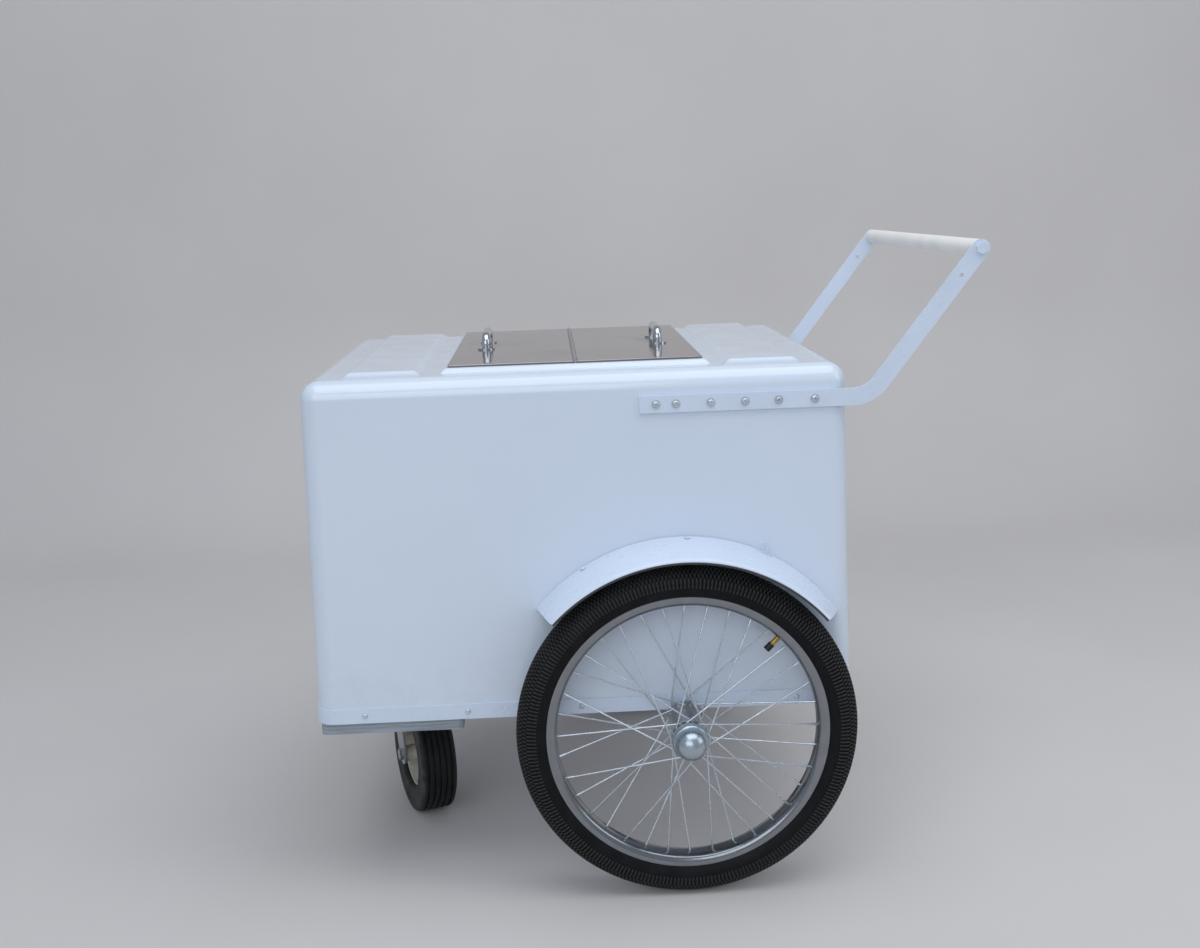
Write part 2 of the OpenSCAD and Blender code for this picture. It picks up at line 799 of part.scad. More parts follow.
module hub() {
    elbow_hole_l = 2 * flange_t;
    color(steel) difference() {
        wheel_ring() difference() {
            union() {
                translate([0, -hub_in]) square([hub_r, hub_in + hub_end]);
                for (s = [-1, 1])
                    translate([0, s * flange_span / 2 - flange_t / 2]) square([flange_r, flange_t]);
                translate([0, cap_foot_y]) square([cap_shoulder_r - cap_wall, hub_end - cap_foot_y]);
            }
            translate([-eps, -hub_in - eps]) square([axle_r + run_gap + eps, hub_in + hub_end + 2 * eps]);
        }
        for (i = [0 : spokes_n - 1]) {
            p = spoke_hub(i);
            translate([p[0], (p[1] < 0 ? -1 : 1) * flange_span / 2 - elbow_hole_l / 2, p[2]]) along_y()
                cylinder(r = elbow_r, h = elbow_hole_l);
        }
    }
}

// A spoke: a straight wire to the rim, and a thicker elbow through the flange to its head
module spoke(i) {
    p = spoke_hub(i);
    side = spoke_side(i);
    lead = spoke_lead(i);
    near = -side * (flange_span / 2 + lead * (spoke_lift + elbow_r));
    far = -side * (flange_span / 2 - lead * flange_t / 2);
    head = -side * (flange_span / 2 - lead * (flange_t / 2 + spoke_head_h));
    rod(p, along_spoke(i, -spoke_bare), spoke_r);
    rod([p[0], near, p[2]], [p[0], head, p[2]], elbow_r);
    rod([p[0], far, p[2]], [p[0], head, p[2]], elbow_r * 1.7);
}

module spokes() {
    color(steel) for (i = [0 : spokes_n - 1]) spoke(i);
}

module nipples() {
    nipple_in = nipple_l - rim_floor_t - 1.5;
    head_end = rim_floor_t + nipple_head_t;
    color(steel) for (i = [0 : spokes_n - 1]) difference() {
        union() {
            rod(along_spoke(i, -nipple_in), along_spoke(i, head_end), nipple_r);
            rod(along_spoke(i, head_end - nipple_head_t + 0.6), along_spoke(i, head_end), nipple_r * 1.5);
        }
        rod(along_spoke(i, -nipple_l), along_spoke(i, -spoke_bare), spoke_r);
    }
}

// The valve: its stem comes through the rim and points at the hub, with a cap on its end
module valve() {
    cap_l = 12;
    stem_l = 20;
    seat_t = 2.5;
    start = rim_in_r + rim_floor_t + 4;
    color("peru") rotate([0, -valve_a, 0]) translate([start, 0, 0]) rotate([0, -90, 0]) {
        cylinder(r = valve_r, h = stem_l);
        translate([0, 0, stem_l]) cylinder(r = valve_r * 1.3, h = cap_l);
        translate([0, 0, 0.5 - seat_t]) cylinder(r = valve_r * 1.6, h = seat_t);
    }
}

module hub_cap() {
    neck_h = 4;
    color(steel) wheel_ring() difference() {
        union() {
            translate([0, cap_foot_y]) square([cap_shoulder_r, cap_dome_y - cap_foot_y - neck_h / 2]);
            translate([0, cap_dome_y - neck_h]) square([cap_dome_r, neck_h]);
            intersection() {
                translate([0, cap_dome_y]) circle(r = cap_dome_r);
                translate([0, cap_dome_y]) square([cap_dome_r, cap_dome_r]);
            }
        }
        translate([-eps, 0]) square([cap_dome_r - cap_wall + eps, cap_dome_y]);
        translate([-eps, 0]) square([cap_shoulder_r - cap_wall + eps, hub_end]);
        intersection() {
            translate([0, cap_dome_y - eps]) circle(r = cap_dome_r - cap_wall);
            translate([-cap_dome_r, cap_dome_y - eps]) square([2 * cap_dome_r, cap_dome_r]);
        }
        translate([-cap_dome_r, 0]) square([cap_dome_r, 2 * cap_dome_y]);
    }
}

// ---------------------------------------------------------------- fenders

// The fender's underside radius at an outward distance from the wheel's middle plane
function fender_under(y) = fender_r_in + fender_slope * (y + fender_root) - fender_t;
fender_edge = fender_w - fender_root;

module fender_section() {
    bend = 4;
    lip_in = 1;
    top_in = 3;
    polygon([
        [fender_under(-fender_root), -fender_root],
        [fender_under(fender_edge - bend), fender_edge - bend],
        [fender_r_out - fender_lip, fender_edge - lip_in],
        [fender_r_out - fender_lip + lip_in, fender_edge + 1.5 * lip_in],
        [fender_r_out - 2 * lip_in, fender_edge + lip_in], [fender_r_out, fender_edge - top_in],
        [fender_r_in, -fender_root],
    ]);
}

// Places along a fender at a bracket: X is outward from the axle, and Y is across the cart
module at_fender_bracket(a) {
    rotate([0, -a, 0]) children();
}

// The space beyond a slanting end of the fender, whose root ends at angle a
module fender_end(a, slant) {
    far = 2 * fender_w;
    rotate([0, -a, 0]) translate([0, fender_root, 0]) rotate([slant, 0, 0])
        translate([0, -far, slant < 0 ? -far : 0]) cube([2 * fender_r_in, 2 * far, far]);
}

module fender() {
    color(white) difference() {
        rotate([90, 0, 0]) rotate_extrude(angle = fender_a1 - fender_a0, start = fender_a0, $fn = 144)
            fender_section();
        fender_end(fender_a0, -fender_slant_rear);
        fender_end(fender_a1, fender_slant_front);
        for (a = fender_bracket_a) at_fender_bracket(a)
            translate([fender_r_in - fender_hole_l / 2, fender_root - fender_screw_d, 0]) rotate([0, 90, 0])
                cylinder(r = small_screw_r, h = fender_hole_l);
    }
}

module fender_bracket_shape() {
    leg = 32;
    end = fender_edge - 10;
    difference() {
        translate([0, 0, -fender_bracket_w / 2]) linear_extrude(fender_bracket_w) polygon([
            [fender_under(-fender_root) - clear, fender_root],
            [fender_under(end) - clear, -end],
            [fender_under(end) - clear - fender_bracket_t, -end],
            [fender_under(-fender_root) - clear - fender_bracket_t, fender_root - fender_bracket_t],
            [fender_r_in - leg, fender_root - fender_bracket_t], [fender_r_in - leg, fender_root],
        ]);
        translate([fender_r_in - fender_hole_l / 2, fender_root - fender_screw_d, 0]) rotate([0, 90, 0])
            cylinder(r = small_screw_r, h = fender_hole_l);
        translate([fender_r_in - fender_root_screw_d, fender_root - fender_bracket_t - eps, 0]) along_y()
            cylinder(r = small_screw_r, h = fender_bracket_t + 2 * eps);
    }
}

module fender_brackets() {
    color("dimgray") for (s = [-1, 1]) at_wheel(s)
        for (a = fender_bracket_a) at_fender_bracket(a) fender_bracket_shape();
}

// Screws through the fender into each bracket, except where the wire tie is
module fender_screws() {
    top_r = fender_r_in + fender_slope * (fender_screw_d - small_head_r) + 2 * head_gap;
    color(white) {
        for (s = [-1, 1]) at_wheel(s)
            for (a = fender_bracket_a) if (s > 0 || a != fender_bracket_a[0])
                at_fender_bracket(a) translate([top_r, fender_root - fender_screw_d, 0])
                    rotate([0, 0, 90])
                        pan_screw(small_head_r, small_head_h, small_screw_r, fender_hole_l / 2);
        fender_root_screw_places() pan_screw(small_head_r, small_head_h, small_screw_r, root_screw_l);
    }
}

// A long loop of wire that lies back along the fender, with both ends through the hole to the bracket
module fender_wire_tie() {
    wire_r = 1;
    loop_r = 3.5;
    loop_l = 9;
    tail = 12;
    lean = 50;
    rise = loop_r * (1 - cos(lean));
    top_r = fender_r_in + fender_slope * fender_screw_d + wire_r;
    color(white) at_wheel(-1) at_fender_bracket(fender_bracket_a[0])
        translate([top_r, fender_root - fender_screw_d, 0]) {
            translate([rise, 0, 0]) rotate([0, lean + 90, 0]) translate([-loop_l - loop_r, 0, 0])
                rotate([90, 0, 0]) {
                    for (s = [0, 1]) translate([s * loop_l, 0, 0]) rotate([0, 0, 90 + 180 * s])
                        rotate_extrude(angle = 180) translate([loop_r, 0]) circle(r = wire_r);
                    for (s = [-1, 1]) rod([0, s * loop_r, 0], [loop_l, s * loop_r, 0], wire_r);
                }
            rod([rise, 0, 0], [-tail, 0, 0], wire_r);
            rod([0, 0, 0], [0, 0, -tail], wire_r);
        }
}

// ---------------------------------------------------------------- handle

// A point at angle a round centre c, counted from straight down
function turned(c, r, a) = [c[0] + r * sin(a), c[1] - r * cos(a)];

// Side view of an arm: a level stretch, a round bend and a rising stretch with a round end
module arm_outline() {
    half = arm_w / 2;
    steps = 20;
    bend = [bend_x, arm_z + arm_bend_r];
    polygon([
        [arm_x0, arm_z - half],
        for (i = [0 : steps]) turned(bend, arm_bend_r + half, i * arm_angle / steps),
        for (i = [0 : steps]) turned([grip_x, grip_z], half, arm_angle + i * 180 / steps),
        for (i = [steps : -1 : 0]) turned(bend, arm_bend_r - half, i * arm_angle / steps),
        [arm_x0, arm_z + half],
    ]);
}

module left_arm_solid() {
    color(white) translate([0, -arm_y, 0]) rotate([90, 0, 0]) linear_extrude(arm_t) difference() {
        arm_outline();
        for (x = arm_screw_x) translate([arm_x0 + x, arm_z]) circle(r = arm_screw_r);
        translate([grip_x, grip_z]) {
            circle(r = bolt_r);
            rotate(arm_angle) translate([-spare_hole_d, 0]) circle(r = spare_hole_r);
        }
    }
}

module left_arm() left_arm_solid();
module right_arm() mirror([0, 1, 0]) left_arm_solid();

module arm_screws() {
    color(steel) arm_screw_places() pan_screw(arm_head_r, arm_head_h, arm_screw_r, arm_screw_l);
}

module arm_washers() {
    color(steel) arm_screw_places() along_y() difference() {
        cylinder(r = washer_r, h = washer_t);
        translate([0, 0, -eps]) cylinder(r = arm_screw_r, h = washer_t + 2 * eps);
    }
}

module grip_tube() {
    color("linen") translate([grip_x, -arm_y, grip_z]) along_y() difference() {
        cylinder(r = grip_r, h = 2 * arm_y);
        translate([0, 0, -eps]) cylinder(r = 1.2 * grip_rod_r, h = 2 * arm_y + 2 * eps);
    }
}

grip_thread_l = 22;

module grip_rod() {
    color(steel) translate([grip_x, -arm_y, grip_z]) along_y() difference() {
        cylinder(r = grip_rod_r, h = 2 * arm_y);
        translate([0, 0, -eps]) cylinder(r = bolt_r, h = grip_thread_l + eps);
        translate([0, 0, 2 * arm_y - grip_thread_l]) cylinder(r = bolt_r, h = grip_thread_l + eps);
    }
}

module grip_bolts() {
    color(white) both_sides() translate([grip_x, -arm_y - arm_t, grip_z]) along_y() {
        cylinder(r = bolt_r, h = arm_t + grip_thread_l - head_gap);
        translate([0, 0, -bolt_hex_h]) rotate([0, 0, 20])
            cylinder(r = 1.2 * bolt_hex_r, h = bolt_hex_h, $fn = 6);
    }
}

// ---------------------------------------------------------------- lids

// Which knuckles of the hinge belong to owner: 0 the centre bar, 1 the front lid, 2 the rear lid
module knuckles(owner, bore) {
    for (i = [owner : 3 : knuckles_n - 1])
        translate([0, -lids_w / 2 + i * knuckle_l + knuckle_gap / 2, 0]) {
            difference() {
                union() {
                    along_y() cylinder(r = barrel_r, h = knuckle_l - knuckle_gap);
                    children();
                }
                translate([0, -eps, 0]) along_y() cylinder(r = bore, h = knuckle_l + 2 * eps);
            }
        }
}

module hinge_bar() {
    stem_w = 3;
    color(steel) translate([lids_mid, 0, 0]) {
        translate([-bar_w / 2, -bar_l / 2, bar_top - bar_h]) cube([bar_w, bar_l, bar_h]);
        translate([0, 0, pin_z]) knuckles(0, hinge_pin_r)
            translate([-stem_w / 2, 0, bar_top - pin_z - 0.5])
                cube([stem_w, knuckle_l - knuckle_gap, pin_z - bar_top]);
    }
}

module hinge_pin() {
    color(steel) translate([lids_mid, -lids_w / 2, pin_z]) along_y() cylinder(r = hinge_pin_r, h = lids_w);
}

// A lid is drawn as the rear one, from the hinge's axis towards +X, and mirrored for the front one
module at_lid(s) {
    translate([lids_mid, 0, 0]) mirror([s < 0 ? 1 : 0, 0, 0]) children();
}

lid_end_x = lids_l / 2;
pull_x = lid_end_x - pull_inset;
pull_foot_r = 14;
pull_foot_t = 2.5;
pull_bend_r = 14;
pull_stud_r = 2.5;
pull_nut_h = 4;
pull_nut_r = 5.5;
pull_stud_l = 8;
pull_pocket_r = 7;
pull_pocket_l = 12;
core_end_x = lid_end_x - curb_land - lid_plug_gap;
core_half_w = lids_w / 2 - curb_land - lid_plug_gap;

module pull_places() {
    for (y = [-1, 1]) translate([pull_x, y * pull_span / 2, 0]) children();
}

module leaf_space() {
    translate([0, -lids_w / 2, lid_under - leaf_t]) cube([lid_edge_x + leaf_l, lids_w, leaf_t]);
}

module lid_skin(s) {
    color("lightgray") at_lid(s) difference() {
        translate([lid_edge_x, -lids_w / 2, lid_z]) cube([lid_end_x - lid_edge_x, lids_w, lid_t]);
        translate([lid_edge_x - eps, -lids_w / 2 + lid_skin_t, lid_z - eps])
            cube([
                lid_end_x - lid_edge_x - lid_skin_t + eps,
                lids_w - 2 * lid_skin_t,
                lid_t - lid_skin_t + eps,
            ]);
        pull_places() cylinder(r = pull_stud_r, h = lid_top + eps);
    }
}

module lid_leaf(s) {
    color(steel) at_lid(s) {
        translate([lid_edge_x, -lids_w / 2 + lid_skin_t, lid_under - leaf_t])
            cube([leaf_l, lids_w - 2 * lid_skin_t, leaf_t]);
        translate([0, 0, pin_z]) knuckles(s < 0 ? 1 : 2, hinge_pin_r + run_gap)
            translate([0, 0, lid_under - leaf_t - pin_z])
                cube([lid_edge_x + eps, knuckle_l - knuckle_gap, leaf_t]);
    }
}

module core_box(grow) {
    translate([core_in_x - grow, -core_half_w - grow, lid_under - lid_core_t - grow])
        cube([core_end_x - core_in_x + 2 * grow, 2 * (core_half_w + grow), lid_core_t + grow]);
}

module lid_core(s) {
    color("khaki") at_lid(s) difference() {
        core_box(0);
        leaf_space();
        pull_places() translate([0, 0, lid_under - pull_pocket_l])
            cylinder(r = pull_pocket_r, h = pull_pocket_l + eps);
    }
}

module lid_pan(s) {
    color(white) at_lid(s) difference() {
        core_box(lid_pan_t);
        core_box(0);
        leaf_space();
    }
}

// A bow on two round feet, with a stud below each
module lid_pull(s) {
    straight_h = pull_h - pull_bend_r - pull_r;
    color(steel) at_lid(s) translate([0, 0, lid_top]) {
        pull_places() {
            cylinder(r = pull_foot_r, h = pull_foot_t);
            cylinder(r = pull_r, h = straight_h);
            translate([0, 0, -lid_skin_t - pull_stud_l])
                cylinder(r = pull_stud_r, h = pull_stud_l + lid_skin_t + eps);
        }
        for (y = [-1, 1])
            translate([pull_x, y * (pull_span / 2 - pull_bend_r), straight_h])
                rotate([90, 0, 90]) rotate([0, y < 0 ? 180 : 0, 0])
                    rotate_extrude(angle = 90) translate([pull_bend_r, 0]) circle(r = pull_r);
        translate([pull_x, -pull_span / 2 + pull_bend_r, straight_h + pull_bend_r]) along_y()
            cylinder(r = pull_r, h = pull_span - 2 * pull_bend_r);
    }
}

module lid_pull_nuts(s) {
    color(steel) at_lid(s) pull_places() translate([0, 0, lid_under - pull_nut_h]) difference() {
        cylinder(r = pull_nut_r, h = pull_nut_h, $fn = 6);
        translate([0, 0, -eps]) cylinder(r = pull_stud_r, h = pull_nut_h + 2 * eps);
    }
}

module front_lid_skin() lid_skin(-1);
module front_lid_core() lid_core(-1);
module front_lid_pan() lid_pan(-1);
module front_lid_leaf() lid_leaf(-1);
module front_lid_pull() lid_pull(-1);
module front_lid_pull_nuts() lid_pull_nuts(-1);
module rear_lid_skin() lid_skin(1);
module rear_lid_core() lid_core(1);
module rear_lid_pan() lid_pan(1);
module rear_lid_leaf() lid_leaf(1);
module rear_lid_pull() lid_pull(1);
module rear_lid_pull_nuts() lid_pull_nuts(1);

module left_fender() at_wheel(-1) fender();
module right_fender() at_wheel(1) fender();
module left_tyre() at_wheel(-1) tyre();
module left_rim() at_wheel(-1) rim();
module left_hub() at_wheel(-1) hub();
module left_spokes() at_wheel(-1) spokes();
module left_nipples() at_wheel(-1) nipples();
module left_valve() at_wheel(-1) valve();
module left_hub_cap() at_wheel(-1) hub_cap();
module right_tyre() at_wheel(1) tyre();
module right_rim() at_wheel(1) rim();
module right_hub() at_wheel(1) hub();
module right_spokes() at_wheel(1) spokes();
module right_nipples() at_wheel(1) nipples();
module right_valve() at_wheel(1) valve();
module right_hub_cap() at_wheel(1) hub_cap();

outer_shell();
inner_liner();
insulation_foam();
base_pan();
base_band();
band_screws();
caster_board();
board_bolts();
caster_plate();
caster_kingpin();
axle();
axle_brackets();
bracket_bolts();
axle_nuts();
left_fender();
right_fender();
fender_brackets();
fender_screws();
fender_wire_tie();
left_arm();
right_arm();
arm_screws();
arm_washers();
grip_tube();
grip_rod();
grip_bolts();
hinge_bar();
hinge_pin();
front_lid_skin();
front_lid_core();
front_lid_pan();
front_lid_leaf();
front_lid_pull();
front_lid_pull_nuts();
rear_lid_skin();
rear_lid_core();
rear_lid_pan();
rear_lid_leaf();
rear_lid_pull();
rear_lid_pull_nuts();
left_tyre();
left_rim();
left_hub();
left_spokes();
left_nipples();
left_valve();
left_hub_cap();
right_tyre();
right_rim();
right_hub();
right_spokes();
right_nipples();
right_valve();
right_hub_cap();
caster_fork();
caster_axle();
caster_rim();
caster_tyre();
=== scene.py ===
"""A push vending cart: a white moulded body on two spoked wheels and a caster, with two steel lids."""

import json
import math

import bpy
from mathutils import Matrix, Vector


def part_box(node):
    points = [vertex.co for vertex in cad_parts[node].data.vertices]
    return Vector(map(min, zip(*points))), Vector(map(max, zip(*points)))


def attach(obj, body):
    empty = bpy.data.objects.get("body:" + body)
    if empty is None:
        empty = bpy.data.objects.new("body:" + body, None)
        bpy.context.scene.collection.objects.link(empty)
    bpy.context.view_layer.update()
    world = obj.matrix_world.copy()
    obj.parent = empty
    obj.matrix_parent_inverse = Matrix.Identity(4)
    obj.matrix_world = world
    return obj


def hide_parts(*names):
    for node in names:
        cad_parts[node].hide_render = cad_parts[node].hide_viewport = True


bl_info = {
    "name": "Push Vending Cart",
    "version": (1, 0, 0),
    "blender": (4, 5, 0),
    "location": "3D View > Sidebar > Cart",
    "description": "Models and finishes a push vending cart on its fixed frame",
    "category": "Object",
}

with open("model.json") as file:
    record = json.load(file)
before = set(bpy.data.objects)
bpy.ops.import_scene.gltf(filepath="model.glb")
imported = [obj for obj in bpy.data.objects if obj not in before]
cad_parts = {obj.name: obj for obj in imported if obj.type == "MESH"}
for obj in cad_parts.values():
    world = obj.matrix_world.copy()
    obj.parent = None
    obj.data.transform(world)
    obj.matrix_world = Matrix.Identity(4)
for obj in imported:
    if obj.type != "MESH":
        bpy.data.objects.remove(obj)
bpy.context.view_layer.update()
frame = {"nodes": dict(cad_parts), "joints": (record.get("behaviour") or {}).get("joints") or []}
SIDES = {"left": -1, "right": 1}


def half_height(node):
    low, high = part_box(node)
    return (high[2] - low[2]) / 2


def middle(node):
    """The middle of a CAD node's box."""
    low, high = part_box(node)
    return (Vector(low) + Vector(high)) / 2


# ---------------------------------------------------------------- sizes and colours


def length(name, description, default):
    return bpy.props.FloatProperty(
        name=name, description=description, default=default, min=0, precision=4,
        subtype="DISTANCE", unit="LENGTH",
    )


def angle(name, description, degrees):
    return bpy.props.FloatProperty(
        name=name, description=description, default=math.radians(degrees), subtype="ANGLE", unit="ROTATION"
    )


def colour(name, description, default):
    return bpy.props.FloatVectorProperty(
        name=name, description=description, default=default, size=3, min=0, max=1, subtype="COLOR"
    )


class CartBodySizes(bpy.types.PropertyGroup):
    """Sizes of the moulded body and what is raised on its deck."""

    edge: length("Edge radius", "Radius of the deck's edges and of the upright corners", 0.028)
    draft: length("Draft", "How much each side leans in from base to deck", 0.006)
    skin: length("Skin", "Thickness of the moulded skin", 0.003)
    strip: length("Edge strip", "Thickness of the strip round the base", 0.002)
    curb_height: length("Curb height", "Height of the curb round the lids", 0.007)
    curb_slope: length("Curb slope", "Width of the curb's sloping side", 0.009)
    curb_margin: length("Curb margin", "Flat curb that shows round the lids", 0.003)
    curb_land: length("Curb land", "Flat curb that the lids lie on", 0.020)
    panel_height: length("Panel height", "Height of the raised panels", 0.008)
    panel_slope: length("Panel slope", "Width of the raised panels' sloping sides", 0.011)
    panel_side: length("Panel side", "Flat deck beside the panels, out to the round edge", 0.005)
    front_panel: length("Front panel", "Length of the front raised panel", 0.118)
    rear_panel: length("Rear panel", "Length of the rear raised panel", 0.116)
    front_gap: length("Front gap", "Flat deck between the front panel and the curb", 0.024)
    rear_gap: length("Rear gap", "Flat deck between the rear panel and the curb", 0.014)
    soften: length("Soft edges", "Radius of the edges of the curb and panels", 0.0028)


class CartLidSizes(bpy.types.PropertyGroup):
    """Sizes of the two sheet metal lids."""

    sheet: length("Sheet", "Thickness of the lids' sheet metal", 0.0012)
    corner: length("Corner", "Radius of the lids' outer corners", 0.003)
    fold: length("Fold", "Radius of the lids' folded edge", 0.0011)


class CartWheelSizes(bpy.types.PropertyGroup):
    """Sizes of the main wheels."""

    tube: length("Tyre section", "Radius of the tyre's round section", 0.027)
    rim_edge: length("Rim radius", "Radius of the rim over its edges", 0.210)
    tread: length("Tread", "Height of the tread blocks", 0.0016)
    dome: length("Hub cap dome", "Radius of the hub cap's dome", 0.024)
    shoulder: length("Hub cap shoulder", "Radius of the hub cap's shoulder", 0.027)
    valve_cap: length("Valve cap", "Distance from the axle to the valve cap's outer end", 0.180)
    blocks: bpy.props.IntProperty(
        name="Tread blocks", description="Blocks in each row of the tread", default=260, min=40, max=400
    )


class CartFenderSizes(bpy.types.PropertyGroup):
    """Sizes of the fenders."""

    root_gap: length("Gap at the body", "From the tyre to the fender at the body's side", 0.030)
    edge_gap: length("Gap at the edge", "From the tyre to the fender's outer edge", 0.018)
    sheet: length("Sheet", "Thickness of the fender", 0.0025)
    lip: length("Lip", "Height of the fender's turned-down edge", 0.008)
    strip: length("Dark strip", "Height of the dark strip along the lip's lower edge", 0.0034)
    rear_slant: angle("Rear slant", "Slant of the rear end", 18)
    front_slant: angle("Front slant", "Slant of the front end", 10)
    start: angle("Rear end", "Angle of the rear end above level", 34)
    end: angle("Front end", "Angle of the front end above level", 140)


class CartCasterSizes(bpy.types.PropertyGroup):
    """Sizes of the caster wheel."""

    radius: length("Radius", "Radius of the caster over its tyre", 0.101)
    width: length("Width", "Width of the caster's tyre", 0.060)
    heel: length("Heel", "Radius between the caster's tread and its sides", 0.0065)
    seat: length("Seat radius", "Radius of the rim that the tyre sits on", 0.058)
    groove: length("Groove", "Depth of the grooves in the tyre", 0.0030)
    heel_board: length("Board's heel", "Radius of the board's lower front edge", 0.010)


class CartColours(bpy.types.PropertyGroup):
    """Colours of the finishes."""

    gelcoat: colour("Gelcoat", "White of the moulded body", (0.72, 0.80, 0.91))
    paint: colour("Paint", "White of the painted metal", (0.70, 0.79, 0.92))
    grip: colour("Grip", "Warm white of the grip", (1.0, 0.97, 0.93))
    stainless: colour("Stainless", "Steel of the lids", (0.42, 0.375, 0.37))
    chrome: colour("Chrome", "Bright plated metal", (0.55, 0.58, 0.61))
    zinc: colour("Zinc", "Grey plated metal", (0.50, 0.52, 0.54))
    spoke: colour("Spokes", "Light plated metal of spokes and screws", (0.78, 0.84, 0.90))
    cap: colour("Hub cap", "Satin plated metal of the hub caps", (0.46, 0.53, 0.58))
    tyre: colour("Tyre", "Rubber of the main tyres", (0.0035, 0.0038, 0.0052))
    dust: colour("Dust", "Dust on rubber and in corners", (0.15, 0.145, 0.135))
    board: colour("Board", "Weathered board", (0.33, 0.37, 0.41))
    brass: colour("Brass", "Brass of the valves", (0.55, 0.36, 0.10))
    cream: colour("Caster paint", "Off-white paint of the caster's rim", (0.60, 0.57, 0.50))
    bracket: colour("Bracket", "Dark metal of the fender brackets", (0.035, 0.036, 0.042))
    foam: colour("Foam", "Rigid foam", (0.72, 0.62, 0.34))


# ---------------------------------------------------------------- shader maths


class Wire:
    """A shader socket that can be used in sums. make() adds any other node."""

    def __init__(self, tree, socket=None):
        self.tree = tree
        self.socket = socket

    def make(self, kind, settings=None, values=None, out=0):
        node = self.tree.nodes.new("ShaderNode" + kind)
        for name, value in (settings or {}).items():
            if name == "stops":
                ramp = node.color_ramp
                while len(ramp.elements) < len(value):
                    ramp.elements.new(0.5)
                for element, (place, tint) in zip(ramp.elements, value):
                    element.position = place
                    element.color = (*tint, 1)
            else:
                setattr(node, name, value)
        for name, value in (values or {}).items():
            if isinstance(value, Wire):
                self.tree.links.new(value.socket, node.inputs[name])
            else:
                node.inputs[name].default_value = value
        return Wire(self.tree, node.outputs[out])

    def sum(self, operation, first, second):
        return self.make("Math", {"operation": operation}, {0: first, 1: second})

    def __add__(self, other):
        return self.sum("ADD", self, other)

    def __radd__(self, other):
        return self.sum("ADD", other, self)

    def __sub__(self, other):
        return self.sum("SUBTRACT", self, other)

    def __rsub__(self, other):
        return self.sum("SUBTRACT", other, self)

    def __mul__(self, other):
        return self.sum("MULTIPLY", self, other)

    def __rmul__(self, other):
        return self.sum("MULTIPLY", other, self)

    def blend(self, dark, light):
        """A colour between dark and light, by this value."""
        ends = [end if isinstance(end, Wire) else (*end, 1) for end in (dark, light)]
        return self.make("Mix", {"data_type": "RGBA"}, {0: self, 6: ends[0], 7: ends[1]}, out=2)

    def unsigned(self):
        """This value without its sign."""
        return self.make("Math", {"operation": "ABSOLUTE"}, {0: self})

    def span(self, low, high, start=0.0, end=1.0):
        """This value, stretched from low..high to start..end and kept between them."""
        return self.make("MapRange", {"clamp": True}, {0: self, 1: low, 2: high, 3: start, 4: end})


class Finish:
    """One material: its Principled shader, and the place on the object for its patterns."""

    def __init__(self, name, **constants):
        self.material = bpy.data.materials.new(name)
        self.material.use_nodes = True
        tree = self.material.node_tree
        self.shader = tree.nodes["Principled BSDF"]
        self.wire = Wire(tree)
        self.place = self.wire.make("TexCoord", out=3)
        for socket, value in constants.items():
            self.set(socket.replace("_", " "), value)

    def set(self, socket, value):
        if isinstance(value, Wire):
            self.wire.tree.links.new(value.socket, self.shader.inputs[socket])
        elif hasattr(value, "__len__"):
            self.shader.inputs[socket].default_value = (*value, 1)
        else:
            self.shader.inputs[socket].default_value = value

    def stretched(self, scale):
        return self.wire.make("Mapping", None, {"Vector": self.place, "Scale": scale})

    def noise(self, scale, detail=4.0, roughness=0.55, place=None, distortion=0.0):
        values = {"Scale": scale, "Detail": detail, "Roughness": roughness, "Distortion": distortion}
        return self.wire.make("TexNoise", None, {"Vector": place or self.place, **values})

    def height(self):
        return self.wire.make("SeparateXYZ", None, {0: self.place}, out=2)

    def along(self, point, axis):
        """The distance from a point, measured along an axis."""
        offset = self.wire.make("VectorMath", {"operation": "SUBTRACT"}, {0: self.place, 1: point})
        return self.wire.make("VectorMath", {"operation": "DOT_PRODUCT"}, {0: offset, 1: axis}, out=1)

    def radius(self, point):
        """The distance from a line along Y through a point."""
        flat = self.wire.make("VectorMath", {"operation": "MULTIPLY"}, {0: self.place, 1: (1, 0, 1)})
        line = (point[0], 0, point[2])
        return self.wire.make("VectorMath", {"operation": "DISTANCE"}, {0: flat, 1: line}, out=1)

    def bump(self, height, distance):
        self.set("Normal", self.wire.make("Bump", None, {"Distance": distance, "Height": height}))


def gelcoat(tint):
    """Glossy moulded laminate: faint waviness, faint mottling, and patches that are darker and rougher low
    down.
    """
    f = Finish("gelcoat_white", Coat_Weight=0.5, Coat_Roughness=0.06)
    # Patches towards the bottom of the body are darker and rougher.
    dust = f.height().span(0.40, 0.26) * f.noise(26.0, 6.0, 0.62).span(0.42, 0.78) * 0.3
    shade = f.noise(4.0, 3.0).span(0.3, 0.7).blend([c * 0.975 for c in tint], tint)
    f.set("Base Color", dust.blend(shade, [c * 0.62 for c in tint]))
    f.set("Roughness", f.noise(14.0, 5.0).span(0.3, 0.75, 0.18, 0.26) + dust * 0.5)
    f.bump(f.noise(8.0, 1.0) + f.noise(170.0, 2.0) * 0.012, 0.0006)
    return f.material


def gloss_paint(name, tint, worn=0.35):
    """Brushed or sprayed white paint on metal, with small chips and a slightly uneven film."""
    f = Finish(name, Coat_Weight=0.25, Coat_Roughness=0.12)
    chips = f.noise(210.0, 6.0, 0.7).span(0.76, 0.78) * f.noise(17.0, 3.0).span(0.55, 0.66) * worn
    shade = f.noise(22.0, 4.0).span(0.3, 0.7).blend([c * 0.95 for c in tint], tint)
    f.set("Base Color", chips.blend(shade, (0.20, 0.20, 0.21)))
    f.set("Roughness", f.noise(60.0, 4.0).span(0.3, 0.7, 0.24, 0.40))
    f.bump(f.noise(260.0, 3.0) * 0.25 + f.noise(45.0, 2.0), 0.0003)
    return f.material


